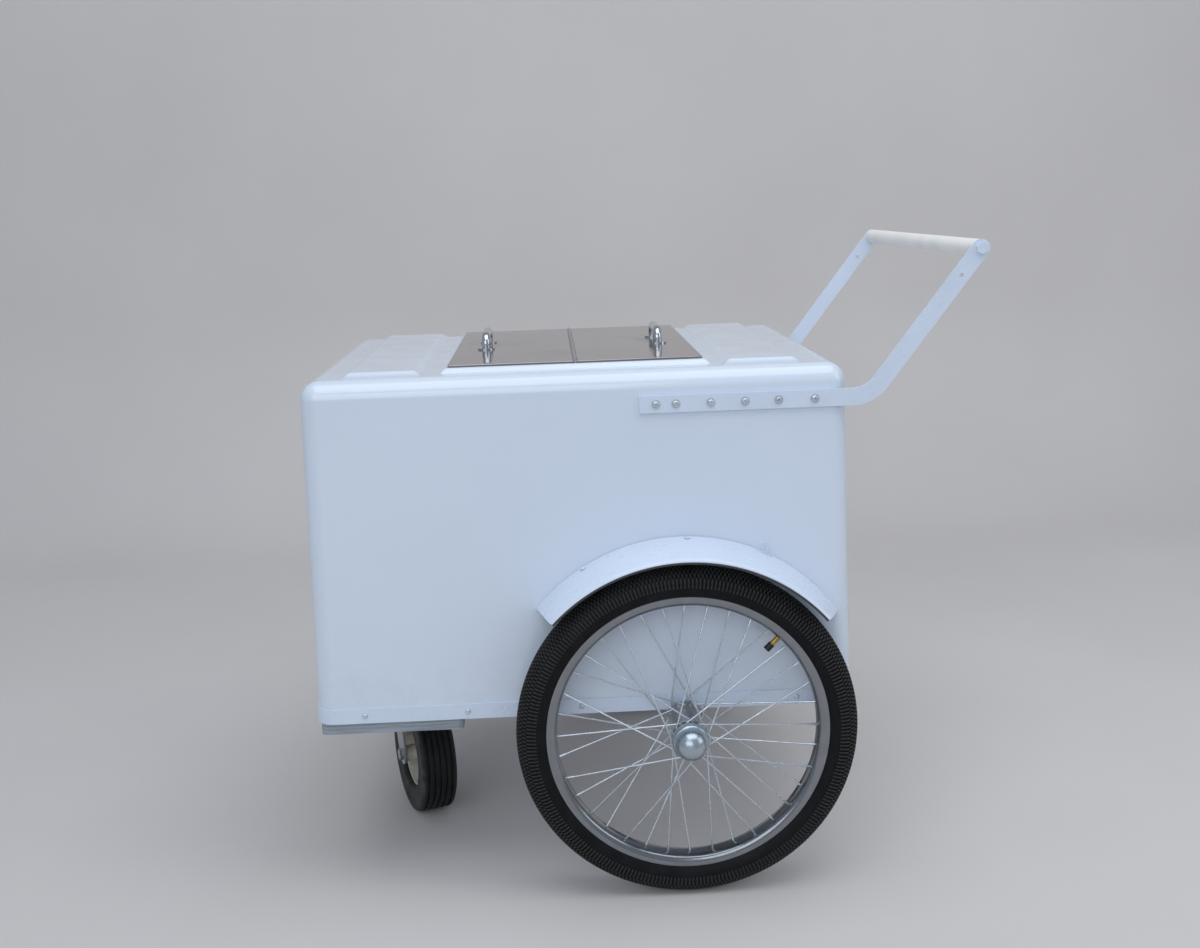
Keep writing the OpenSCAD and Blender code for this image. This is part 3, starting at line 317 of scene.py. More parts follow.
def fender_paint(tint, edge, centre, border):
    """White paint over the whole fender but for a dark strip along its lower edge."""
    f = Finish("fender_paint", Coat_Weight=0.3, Coat_Roughness=0.1)
    strip = f.radius(centre).span(border + 0.0004, border - 0.0004)
    shade = f.noise(16.0, 4.0).span(0.3, 0.7).blend([c * 0.96 for c in tint], tint)
    f.set("Base Color", strip.blend(shade, edge))
    f.set("Roughness", f.noise(50.0, 4.0).span(0.3, 0.7, 0.26, 0.31) + strip * 0.2)
    f.bump(f.noise(24.0, 1.0), 0.00015)
    return f.material


def stainless_sheet(tint):
    """Polished stainless sheet with a fine brushed grain, a gentle wave and hand marks."""
    f = Finish("stainless_sheet", Metallic=1.0)
    grain = f.noise(6.0, 8.0, 0.7, f.stretched((1.0, 160.0, 60.0)))
    marks = f.noise(11.0, 5.0, 0.6, None, 0.8)
    f.set("Base Color", grain.span(0.35, 0.65).blend([c * 0.90 for c in tint], tint))
    f.set("Roughness", grain.span(0.3, 0.7, 0.07, 0.13) + marks.span(0.52, 0.75) * 0.12)
    f.bump(f.noise(7.0, 1.0) + grain * 0.006, 0.0009)
    return f.material


def bright_chrome(name, tint, rough=0.08):
    """Bright plating with faint polishing haze and a few dull spots."""
    f = Finish(name, Metallic=1.0)
    haze = f.noise(48.0, 5.0, 0.6)
    f.set("Base Color", haze.span(0.3, 0.75).blend(tint, [c * 0.86 for c in tint]))
    f.set("Roughness", haze.span(0.35, 0.75, rough, rough + 0.13))
    f.bump(f.noise(420.0, 3.0), 0.00006)
    return f.material


def zinc_plate(name, tint, rough=0.30):
    """Zinc plated steel: a soft grey sheen with cloudy patches."""
    f = Finish(name, Metallic=0.95)
    cloud = f.noise(75.0, 6.0, 0.62)
    f.set("Base Color", cloud.span(0.3, 0.72).blend([c * 0.72 for c in tint], tint))
    f.set("Roughness", cloud.span(0.3, 0.7, rough + 0.12, rough - 0.06))
    f.bump(f.noise(700.0, 3.0), 0.00008)
    return f.material


def tyre_rubber(tint, dust, centre, ring, tube):
    """Black tyre rubber: dusty block tops, dark grooves and a fine moulded grain."""
    f = Finish("tyre_rubber", Specular_IOR_Level=0.18)
    film = f.noise(34.0, 6.0, 0.66).span(0.45, 0.86) * 0.05
    across = f.along((0, 0, 0), (0, 1, 0)).unsigned() - abs(centre[1])
    out = f.radius(centre) - ring
    section = f.wire.make("Math", {"operation": "SQRT"}, {0: across * across + out * out})
    tops = section.span(tube - 0.0009, tube - 0.0004)
    f.set("Base Color", (film + tops * 0.24).blend(tint, dust))
    f.set("Roughness", f.noise(120.0, 5.0).span(0.3, 0.7, 0.42, 0.60) + film)
    f.bump(f.noise(900.0, 4.0), 0.00015)
    return f.material


def caster_rubber(tint, dust, centre, axis, half):
    """Rubber that runs on dusty ground: dust on the walls and a little on the ribs."""
    f = Finish("caster_rubber", Specular_IOR_Level=0.3)
    side = f.along(centre, axis).unsigned().span(half - 0.006, half)
    film = f.noise(42.0, 7.0, 0.7).span(0.30, 0.80) * (side * 0.75 + 0.12)
    f.set("Base Color", film.blend(tint, dust))
    f.set("Roughness", film * 0.35 + 0.55)
    f.bump(f.noise(600.0, 5.0), 0.0004)
    return f.material


def weathered_board(tint):
    """Grey weathered wood with its grain along its edge and a few dark checks."""
    f = Finish("weathered_board", Specular_IOR_Level=0.25)
    grain = f.noise(24.0, 8.0, 0.7, f.stretched((0.35, 1.0, 9.0)), 0.5)
    streak = f.noise(14.0, 4.0, 0.5, f.stretched((0.5, 1.5, 22.0)))
    body = grain.span(0.32, 0.68).blend([c * 0.62 for c in tint], [min(1, c * 1.3) for c in tint])
    checks = streak.span(0.68, 0.74)
    f.set("Base Color", (checks * 0.7).blend(body, (0.07, 0.07, 0.07)))
    f.set("Roughness", grain.span(0.2, 0.8, 0.70, 0.92))
    f.bump(grain - checks * 0.8, 0.0008)
    return f.material


def grip_plastic(tint):
    """Warm white sleeve, matt where hands have worn it."""
    f = Finish("grip_plastic", Coat_Weight=0.1)
    wear = f.noise(18.0, 5.0)
    f.set("Base Color", wear.span(0.45, 0.8).blend(tint, [c * 0.90 for c in tint]))
    f.set("Roughness", wear.span(0.3, 0.7, 0.34, 0.52))
    f.bump(f.noise(380.0, 4.0), 0.00022)
    return f.material


def plain_brass(tint, cap, centre, border):
    """Dull brass, and the black plastic of the cap that is nearest the hub."""
    f = Finish("valve_brass")
    tarnish = f.noise(190.0, 4.0)
    brass = f.radius(centre).span(border - 0.0002, border + 0.0002)
    f.set("Base Color", brass.blend(cap, tarnish.span(0.35, 0.7).blend(tint, [c * 0.5 for c in tint])))
    f.set("Metallic", brass)
    f.set("Roughness", tarnish.span(0.3, 0.7, 0.24, 0.42))
    return f.material


def satin_plate(tint):
    """Satin plating with fine turning marks round the axle."""
    f = Finish("satin_plate", Metallic=0.9)
    turned = f.noise(420.0, 3.0)
    cloud = f.noise(30.0, 4.0)
    f.set("Base Color", cloud.span(0.3, 0.7).blend([c * 0.9 for c in tint], tint))
    f.set("Roughness", turned.span(0.3, 0.7, 0.24, 0.34))
    f.bump(turned, 0.00005)
    return f.material


def dark_metal(tint):
    """Dark painted strip under the fenders."""
    f = Finish("dark_bracket", Specular_IOR_Level=0.4)
    wear = f.noise(130.0, 5.0)
    f.set("Base Color", wear.span(0.55, 0.8).blend(tint, [c * 3 for c in tint]))
    f.set("Roughness", wear.span(0.3, 0.7, 0.42, 0.62))
    f.bump(wear, 0.0003)
    return f.material


def cream_paint(tint, dust):
    """Off-white paint on the caster's pressed rim, with patches of dirt."""
    f = Finish("cream_paint", Coat_Weight=0.1)
    dirt = f.noise(60.0, 6.0, 0.66).span(0.42, 0.7) * 0.55
    f.set("Base Color", dirt.blend(tint, dust))
    f.set("Roughness", dirt * 0.35 + 0.36)
    f.bump(f.noise(240.0, 4.0), 0.0003)
    return f.material


def rigid_foam(tint):
    """Poured rigid foam with fine open cells."""
    f = Finish("rigid_foam")
    cells = f.noise(520.0, 4.0)
    f.set("Base Color", cells.span(0.35, 0.65).blend([c * 0.8 for c in tint], tint))
    f.set("Roughness", cells.span(0.3, 0.7, 0.85, 0.97))
    f.bump(cells, 0.0008)
    return f.material


def liner_plastic(tint):
    """Smooth white liner, a little scuffed."""
    f = Finish("liner_plastic", Coat_Weight=0.15)
    scuff = f.noise(38.0, 6.0, 0.65, f.stretched((1.0, 1.0, 3.0)))
    f.set("Base Color", scuff.span(0.5, 0.8).blend(tint, [c * 0.9 for c in tint]))
    f.set("Roughness", scuff.span(0.3, 0.7, 0.24, 0.42))
    f.bump(f.noise(110.0, 4.0), 0.0003)
    return f.material


FINISHES = {}


def finishes(context):
    """Makes every finish at the first call, and returns them by name."""
    if FINISHES:
        return FINISHES
    c = context.scene.cart_colours
    wheels = context.scene.cart_wheels
    fenders = context.scene.cart_fenders
    caster = context.scene.cart_caster
    axle = middle("left_tyre")
    outer = half_height("left_tyre")
    spin = next(j for j in frame["joints"] if j["name"] == "caster_wheel_spin")
    lip = outer + fenders.edge_gap - fenders.lip + fenders.strip
    FINISHES.update({
        "gelcoat": gelcoat(c.gelcoat),
        "paint": gloss_paint("gloss_paint", c.paint),
        "strip": gloss_paint("strip_paint", c.paint, 0.15),
        "stainless": stainless_sheet(c.stainless),
        "chrome": bright_chrome("bright_chrome", c.chrome),
        # The rims take a darker copy of the chrome; the darker colour is a painted dark reflection.
        "rim": bright_chrome("rim_plating_painted_dark_reflection", [v * 0.52 for v in c.chrome], 0.12),
        "zinc": zinc_plate("zinc_plate", c.zinc),
        "spoke": zinc_plate("spoke_zinc", c.spoke, 0.26),
        "screw": zinc_plate("screw_zinc", c.spoke, 0.3),
        "cap": satin_plate(c.cap),
        "fender": fender_paint(c.paint, c.bracket, axle, lip),
        "tyre": tyre_rubber(c.tyre, c.dust, axle, outer - wheels.tube, wheels.tube),
        "caster_tyre": caster_rubber(c.tyre, c.dust, spin["pos_m"], spin["axis"], caster.width / 2),
        "board": weathered_board(c.board),
        "grip": grip_plastic(c.grip),
        "brass": plain_brass(c.brass, c.tyre, axle, wheels.valve_cap),
        "bracket": dark_metal(c.bracket),
        "cream": cream_paint(c.cream, c.dust),
        "foam": rigid_foam(c.foam),
        "liner": liner_plastic(c.gelcoat),
    })
    return FINISHES


# ---------------------------------------------------------------- modelling


def only(piece):
    """Makes a piece the only selected one, in object mode."""
    if bpy.context.object and bpy.context.object.mode != "OBJECT":
        bpy.ops.object.mode_set(mode="OBJECT")
    bpy.ops.object.select_all(action="DESELECT")
    if piece:
        piece.select_set(True)
        bpy.context.view_layer.objects.active = piece


def begin(name, add, **settings):
    """Adds a primitive on its own, and fixes its place into its mesh."""
    only(None)
    add(**settings)
    piece = bpy.context.object
    piece.name = piece.data.name = name
    bpy.ops.object.transform_apply(location=True, rotation=True, scale=True)
    return piece


def box_block(name, low, high):
    low, high = Vector(low), Vector(high)
    return begin(
        name, bpy.ops.mesh.primitive_cube_add, size=1, location=(low + high) / 2, scale=high - low
    )


def pick(piece, kind, test):
    """Opens a piece for editing with only those faces, edges or corners selected that pass the test."""
    only(piece)
    mesh = piece.data
    groups = {"VERT": mesh.vertices, "EDGE": mesh.edges, "FACE": mesh.polygons}
    for group in groups.values():
        group.foreach_set("select", [False] * len(group))
    for item in groups[kind]:
        if kind == "FACE":
            item.select = test(item.center, item.normal)
        elif kind == "EDGE":
            item.select = test(*[mesh.vertices[i].co for i in item.vertices])
        else:
            item.select = test(item.co)
    bpy.context.tool_settings.mesh_select_mode = (kind == "VERT", kind == "EDGE", kind == "FACE")
    bpy.ops.object.mode_set(mode="EDIT")


def leave():
    bpy.ops.object.mode_set(mode="OBJECT")


def modify(piece, kind, **settings):
    """Adds a modifier and applies it."""
    only(piece)
    modifier = piece.modifiers.new(kind.lower(), kind)
    for name, value in settings.items():
        setattr(modifier, name, value)
    bpy.ops.object.modifier_apply(modifier=modifier.name)


def smooth(piece, sharp=35, weighted=True):
    only(piece)
    bpy.ops.object.shade_smooth_by_angle(angle=math.radians(sharp))
    if weighted:
        modify(piece, "WEIGHTED_NORMAL", keep_sharp=True, weight=60)


def merge(piece, threshold=1e-6, outwards=True):
    """Joins doubled corners and turns the faces outwards."""
    only(piece)
    bpy.ops.object.mode_set(mode="EDIT")
    bpy.ops.mesh.select_all(action="SELECT")
    bpy.ops.mesh.remove_doubles(threshold=threshold)
    if outwards:
        bpy.ops.mesh.normals_make_consistent(inside=False)
    leave()


def join_with(piece, other, operation):
    """Adds another piece to this one or cuts it away, and removes the other."""
    modify(piece, "BOOLEAN", object=other, operation=operation, solver="EXACT")
    only(other)
    bpy.ops.object.delete()


def copy_of(piece, name):
    only(piece)
    bpy.ops.object.duplicate()
    made = bpy.context.object
    made.name = made.data.name = name
    return made


def mirrored(piece, name):
    """A copy on the cart's other side."""
    made = copy_of(piece, name)
    made.scale.y = -1
    bpy.ops.object.transform_apply(location=True, rotation=True, scale=True)
    merge(made)
    return made


def joined(pieces, name):
    """Several pieces as one."""
    only(pieces[0])
    for piece in pieces:
        piece.select_set(True)
    if len(pieces) > 1:
        bpy.ops.object.join()
    made = bpy.context.object
    made.name = made.data.name = name
    return made


def lathe(name, outline, centre, steps, closed=True, start=0.0, sweep=360.0):
    """Turns an outline of (radius, distance along Y) about a line along Y through centre."""
    begin(name, bpy.ops.mesh.primitive_plane_add, size=0.001, location=centre)
    piece = bpy.context.object
    bpy.context.tool_settings.mesh_select_mode = (True, False, False)
    bpy.ops.object.mode_set(mode="EDIT")
    bpy.ops.mesh.select_all(action="SELECT")
    bpy.ops.mesh.merge(type="CENTER")
    ahead = Vector((math.cos(start), 0, math.sin(start)))
    points = [ahead * r + Vector((0, y, 0)) for r, y in outline]
    bpy.ops.transform.translate(value=points[0])
    for first, second in zip(points, points[1:]):
        bpy.ops.mesh.extrude_region_move(TRANSFORM_OT_translate={"value": second - first})
    leave()
    if closed:
        ends = [Vector(centre) + points[0], Vector(centre) + points[-1]]
        pick(piece, "VERT", lambda v: min((v - e).length for e in ends) < 1e-6)
        bpy.ops.mesh.edge_face_add()
    else:
        bpy.ops.object.mode_set(mode="EDIT")
    bpy.ops.mesh.select_all(action="SELECT")
    bpy.ops.mesh.spin(steps=steps, angle=math.radians(sweep), center=centre, axis=(0, 1, 0))
    leave()
    merge(piece)
    return piece


def softened(node, name, width, flat=True):
    """A copy of a CAD node with its sharp edges rounded a little."""
    piece = copy_of(frame["nodes"][node], name)
    piece.parent = None
    merge(piece, 2e-6, outwards=False)
    if flat:
        bpy.ops.object.mode_set(mode="EDIT")
        bpy.ops.mesh.select_all(action="SELECT")
        bpy.ops.mesh.dissolve_limited(angle_limit=math.radians(0.6))
        leave()
    modify(
        piece, "BEVEL", width=width, segments=2, limit_method="ANGLE", angle_limit=math.radians(40),
        miter_outer="MITER_ARC", use_clamp_overlap=True,
    )
    smooth(piece, 50)
    return piece


def dress(piece, material, body, slot, *nodes):
    """Gives a piece its finish, and says what it moves with and stands for."""
    piece.data.materials.clear()
    piece.data.materials.append(material)
    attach(piece, body)
    if nodes:
        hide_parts(*nodes)


def coat(material, *nodes):
    """Gives CAD nodes a finish."""
    for node in nodes:
        piece = frame["nodes"][node]
        if not piece.material_slots:
            piece.data.materials.append(material)
        for slot in piece.material_slots:
            slot.material = material


# ---------------------------------------------------------------- pieces


class CART_OT_body(bpy.types.Operator):
    """Model the moulded body with its soft corners, the curb round the lids and the two raised panels"""

    bl_idname = "cart.body"
    bl_label = "Body"

    def execute(self, context):
        s = context.scene.cart_body
        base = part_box("base_pan")[0][2]
        well_low, well_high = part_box("inner_liner")
        bar_low, bar_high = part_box("hinge_bar")
        deck = well_high[2] - s.curb_height
        strip_low, strip_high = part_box("base_band")
        low = Vector((strip_low[0] + s.strip, strip_low[1] + s.strip, base))
        high = Vector((strip_high[0] - s.strip, strip_high[1] - s.strip, deck))
        piece = box_block("moulded_body", low, high)
        mid = (low + high) / 2
        size = high - low
        pick(piece, "FACE", lambda c, n: n.z > 0.9)
        lean = (1 - 2 * s.draft / size.x, 1 - 2 * s.draft / size.y, 1)
        bpy.ops.transform.resize(value=lean, center_override=(mid.x, mid.y, deck))
        leave()
        pick(piece, "EDGE", lambda a, b: max(a.z, b.z) > deck - 1e-5)
        bpy.ops.mesh.bevel(offset=s.edge, offset_type="OFFSET", segments=10, profile=0.5, affect="EDGES")
        leave()
        # Where the raised shapes and the openings stand on the deck
        margin = Vector((1, 1, 0)) * (s.curb_land - s.skin + s.curb_margin + s.curb_slope)
        curb_low, curb_high = Vector(well_low) - margin, Vector(well_high) + margin
        half = size.y / 2 - s.draft - s.edge - s.panel_side
        front, rear = curb_low.x - s.front_gap, curb_high.x + s.rear_gap
        panel = (deck, s.panel_height, s.panel_slope, s)
        pads = [
            self.pad("curb", curb_low, curb_high, deck, s.curb_height, s.curb_slope, s),
            self.pad("front_panel", Vector((front - s.front_panel, -half)), Vector((front, half)), *panel),
            self.pad("rear_panel", Vector((rear, -half)), Vector((rear + s.rear_panel, half)), *panel),
        ]
        for pad in pads:
            join_with(piece, pad, "UNION")
        pick(piece, "FACE", lambda c, n: n.z < -0.9 and c.z < base + 1e-4)
        bpy.ops.mesh.delete(type="FACE")
        leave()
        modify(piece, "SOLIDIFY", thickness=s.skin, offset=-1, use_even_offset=True)
        deep = 0.06
        floor, top = deck - deep, well_high[2] + deep
        for low, high in ((well_low, well_high), (bar_low, bar_high)):
            hole = box_block("opening", (low[0], low[1], floor), (high[0], high[1], top))
            join_with(piece, hole, "DIFFERENCE")
        merge(piece)
        smooth(piece, 32)
        dress(piece, finishes(context)["gelcoat"], "cart", "shell_white", "outer_shell")
        return {"FINISHED"}

    def pad(self, name, low, high, deck, height, slope, s):
        """A raised shape with sloping sides and soft edges, sunk a little into the deck."""
        pad = box_block(name, (low.x, low.y, deck), (high.x, high.y, deck + height))
        mid = (low + high) / 2
        pick(pad, "FACE", lambda c, n: n.z > 0.9)
        bpy.ops.transform.resize(
            value=(1 - 2 * slope / (high.x - low.x), 1 - 2 * slope / (high.y - low.y), 1),
            center_override=(mid.x, mid.y, deck + height),
        )
        leave()
        pick(pad, "EDGE", lambda a, b: max(a.z, b.z) > deck + height / 2)
        bpy.ops.mesh.bevel(offset=s.soften, segments=4, affect="EDGES")
        leave()
        pick(pad, "FACE", lambda c, n: n.z < -0.9)
        bpy.ops.mesh.extrude_region_move(TRANSFORM_OT_translate={"value": (0, 0, -s.skin / 2)})
        leave()
        return pad


class CART_OT_base(bpy.types.Operator):
    """Finish the edge strip, floor panel, liner and foam"""

    bl_idname = "cart.base"
    bl_label = "Base and liner"

    def execute(self, context):
        f = finishes(context)
        strip = softened("base_band", "edge_strip", 0.0007)
        dress(strip, f["strip"], "cart", "white_paint", "base_band")
        coat(f["liner"], "inner_liner", "base_pan", "front_lid_pan", "rear_lid_pan")
        coat(f["foam"], "insulation_foam", "front_lid_core", "rear_lid_core")
        return {"FINISHED"}


class CART_OT_lids(bpy.types.Operator):
    """Model the two folded steel lids, and finish their hinge and pulls"""

    bl_idname = "cart.lids"
    bl_label = "Lids"

    def execute(self, context):
        f = finishes(context)
        s = context.scene.cart_lids
        for end in ("front", "rear"):
            low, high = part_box(end + "_lid_skin")
            piece = box_block(end + "_lid_sheet", low, high)
            out_x = low[0] if end == "front" else high[0]
            pick(piece, "FACE", lambda c, n: n.z < -0.9)
            bpy.ops.mesh.delete(type="FACE")
            leave()
            pick(piece, "EDGE", lambda a, b: abs(a.z - b.z) > 1e-4 and abs(a.x - out_x) < 1e-5)
            bpy.ops.mesh.bevel(offset=s.corner, segments=5, affect="EDGES")
            leave()
            hinge_x = high[0] if end == "front" else low[0]

            def folded(a, b):
                at_hinge = max(abs(a.x - hinge_x), abs(b.x - hinge_x)) < 1e-5
                return min(a.z, b.z) > high[2] - 1e-5 and not at_hinge

            pick(piece, "EDGE", folded)
            bpy.ops.mesh.bevel(offset=s.fold, segments=3, affect="EDGES")
            leave()
            modify(piece, "SOLIDIFY", thickness=s.sheet, offset=-1, use_even_offset=True)
            smooth(piece, 40)
            dress(piece, f["stainless"], end + "_lid", "stainless", end + "_lid_skin")
            coat(f["chrome"], end + "_lid_pull")
            coat(f["zinc"], end + "_lid_leaf", end + "_lid_pull_nuts")
        coat(f["zinc"], "hinge_bar", "hinge_pin")
        return {"FINISHED"}


class CART_OT_wheels(bpy.types.Operator):
    """Model the tyres, rims and hub caps, and finish the spokes, hubs and valves"""

    bl_idname = "cart.wheels"
    bl_label = "Main wheels"

    def execute(self, context):
        f = finishes(context)
        s = context.scene.cart_wheels
        centre = middle("left_tyre")
        tyre = self.tyre(s, centre)
        rim = self.rim(s, centre)
        cap = self.cap(s, centre)
        for side, sign in SIDES.items():
            body = side + "_wheel"
            for source, name, finish, slot, node in (
                (tyre, "_road_tyre", "tyre", "tyre_black", "_tyre"),
                # The rims' darker plating is a painted dark reflection.
                (rim, "_plated_rim", "rim", "chrome", "_rim"),
                (cap, "_domed_cap", "cap", "chrome", "_hub_cap"),
            ):
                piece = mirrored(source, side + name) if sign > 0 else source
                piece.name = piece.data.name = side + name
                smooth(piece, 38 if finish == "tyre" else 30, finish != "tyre")
                dress(piece, f[finish], body, slot, side + node)
            coat(f["spoke"], side + "_spokes", side + "_nipples")
            coat(f["zinc"], side + "_hub")
            coat(f["brass"], side + "_valve")
        return {"FINISHED"}

    def tyre(self, s, centre):
        """A tyre with rows of small blocks on its crown and ribs on its shoulders."""
        ring = half_height("left_tyre") - s.tube
        steps = 2 * s.blocks
        # Borders between the rows, as angles round the section from the middle of the crown
        rows = [0, 11, 22, 34, 47, 62, 82, 96, 112, 128, 140]
        angles = [math.radians(a) for a in (*[-a for a in reversed(rows[1:])], *rows)]
        base = s.tube - s.tread
        outline = [(ring + base * math.cos(a), base * math.sin(a)) for a in angles]
        bead, bead_r = outline[-1][1] * 0.85, s.rim_edge - 0.009
        outline += [(bead_r, bead), (bead_r, -bead)]
        piece = lathe("left_road_tyre", outline, centre, steps)
        step = 2 * math.pi / steps

        def block(c, n):
            radius = math.hypot(c.x - centre.x, c.z - centre.z)
            around = int(math.floor(math.atan2(c.z - centre.z, c.x - centre.x) / step + 1e-4))
            lean = math.degrees(math.atan2(abs(c.y - centre.y), radius - ring))
            row = sum(lean > a for a in rows)
            if lean < rows[5]:
                return (around + row + (c.y > centre.y)) % 2 == 0
            return lean < rows[7] and around % 2 == 0

        pick(piece, "FACE", block)
        groove = 0.0005
        bpy.ops.mesh.inset(thickness=groove / 2, depth=s.tread, use_individual=True)
        leave()
        return piece

    def rim(self, s, centre):
        """A rolled rim: a bead on each edge, a curved wall and a well for the tyre."""
        half = [
            (0, 0.0176), (0.0006, 0.0187), (0.002, 0.019), (0.0055, 0.0187), (0.0095, 0.0176),
            (0.0128, 0.0156), (0.0152, 0.0122), (0.0163, 0.0080), (0.0165, 0.0035),
        ]
        inside = [(0.0137, 0.008), (0.0067, 0.010), (0.0067, 0.0165), (0.0012, 0.0168)]
        half, inside = ([(s.rim_edge - depth, y) for depth, y in part] for part in (half, inside))
        outline = [(r, -y) for r, y in half] + half[::-1]
        outline += inside[::-1] + [(r, -y) for r, y in inside]
        return lathe("left_plated_rim", outline, centre, 180)

    def cap(self, s, centre):
        """A domed cap with a rolled shoulder, towards the outside of the left wheel."""
        low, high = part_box("left_hub_cap")
        tip = centre.y - low[1]
        foot = centre.y - high[1]
        base = tip - s.dome
        sheet = 0.0014
        roll = 0.002
        neck = base - 0.0030

        def arc(radius):
            turns = [math.radians(d) for d in range(6, 91, 7)]
            return [(radius * math.sin(a), base + radius * math.cos(a)) for a in turns]

        dome = [(0, tip), *arc(s.dome)]
        shoulder = [
            (s.dome, neck), (s.dome + roll / 2, neck - roll / 4), (s.shoulder - roll, neck - roll / 3),
            (s.shoulder - roll / 3, neck - roll), (s.shoulder, neck - 2 * roll),
            (s.shoulder, foot + sheet / 2), (s.shoulder - sheet / 2, foot),
        ]
        inside = [
            (s.shoulder - sheet, foot), (s.shoulder - sheet, neck - 2 * roll), (s.dome - sheet, neck - roll),
            *reversed(arc(s.dome - sheet)),
            (0, tip - sheet),
        ]
        return lathe(
            "left_domed_cap", [(r, -y) for r, y in dome + shoulder + inside], centre, 72, closed=False
        )


class CART_OT_fenders(bpy.types.Operator):
    """Model the fenders, and finish their brackets and screws"""

    bl_idname = "cart.fenders"
    bl_label = "Fenders"

    def execute(self, context):
        f = finishes(context)
        s = context.scene.cart_fenders
        low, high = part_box("left_fender")
        centre = middle("left_tyre")
        wheel = half_height("left_tyre")
        root = high[1] - centre.y
        edge = low[1] - centre.y
        r_root, r_edge = wheel + s.root_gap, wheel + s.edge_gap
        corner = 0.006
        bend = [
            (r_edge - corner + corner * math.cos(a), edge + corner - corner * math.sin(a))
            for a in [math.radians(d) for d in (0, 20, 40, 60, 80)]
        ]
        crease, rise = 0.0095, 0.0012
        outer = [(r_root, root), (r_edge + rise, edge + crease), *bend, (r_edge - s.lip, edge)]
        inner = [(r - s.sheet, y) for r, y in outer[:2]]
        inner += [(r - s.sheet * 0.8, y + s.sheet * 0.8) for r, y in bend]
        inner += [(r_edge - s.lip, edge + s.sheet)]
        outline = outer + inner[::-1]
        sweep = math.degrees(s.end - s.start)
        piece = lathe("left_mudguard", outline, centre, 72, start=s.start, sweep=sweep)
        foot = Vector((centre.x, high[1], centre.z))
        for end, slant, side in ((s.start, -s.rear_slant, -1), (s.end, s.front_slant, 1)):
            along = Vector((-math.sin(end), 0, math.cos(end)))
            across = along * math.cos(slant) - Vector((0, 1, 0)) * math.sin(slant)
            pick(piece, "FACE", lambda c, n: True)
            bpy.ops.mesh.bisect(
                plane_co=foot, plane_no=across, use_fill=True, clear_outer=side > 0, clear_inner=side < 0
            )
            leave()
        merge(piece)
        modify(piece, "BEVEL", width=0.0006, segments=2, limit_method="ANGLE", angle_limit=math.radians(50))
        other = mirrored(piece, "right_mudguard")
        for side, made in (("left", piece), ("right", other)):
            smooth(made, 40)
            dress(made, f["fender"], "cart", "white_paint", side + "_fender")
        coat(f["bracket"], "fender_brackets")
        coat(f["paint"], "fender_screws", "fender_wire_tie")
        return {"FINISHED"}


class CART_OT_handle(bpy.types.Operator):
    """Round the edges of the arms and grip, and finish the handle"""

    bl_idname = "cart.handle"
    bl_label = "Handle"

    def execute(self, context):
        f = finishes(context)
        for side in SIDES:
            arm = softened(side + "_arm", side + "_flat_arm", 0.0007)
            dress(arm, f["paint"], "cart", "white_paint", side + "_arm")
        grip = softened("grip_tube", "grip_sleeve", 0.0012, flat=False)
        dress(grip, f["grip"], "cart", "grip_white", "grip_tube")
        coat(f["paint"], "grip_bolts")
        coat(f["zinc"], "grip_rod")
        coat(f["screw"], "arm_washers")
        return {"FINISHED"}


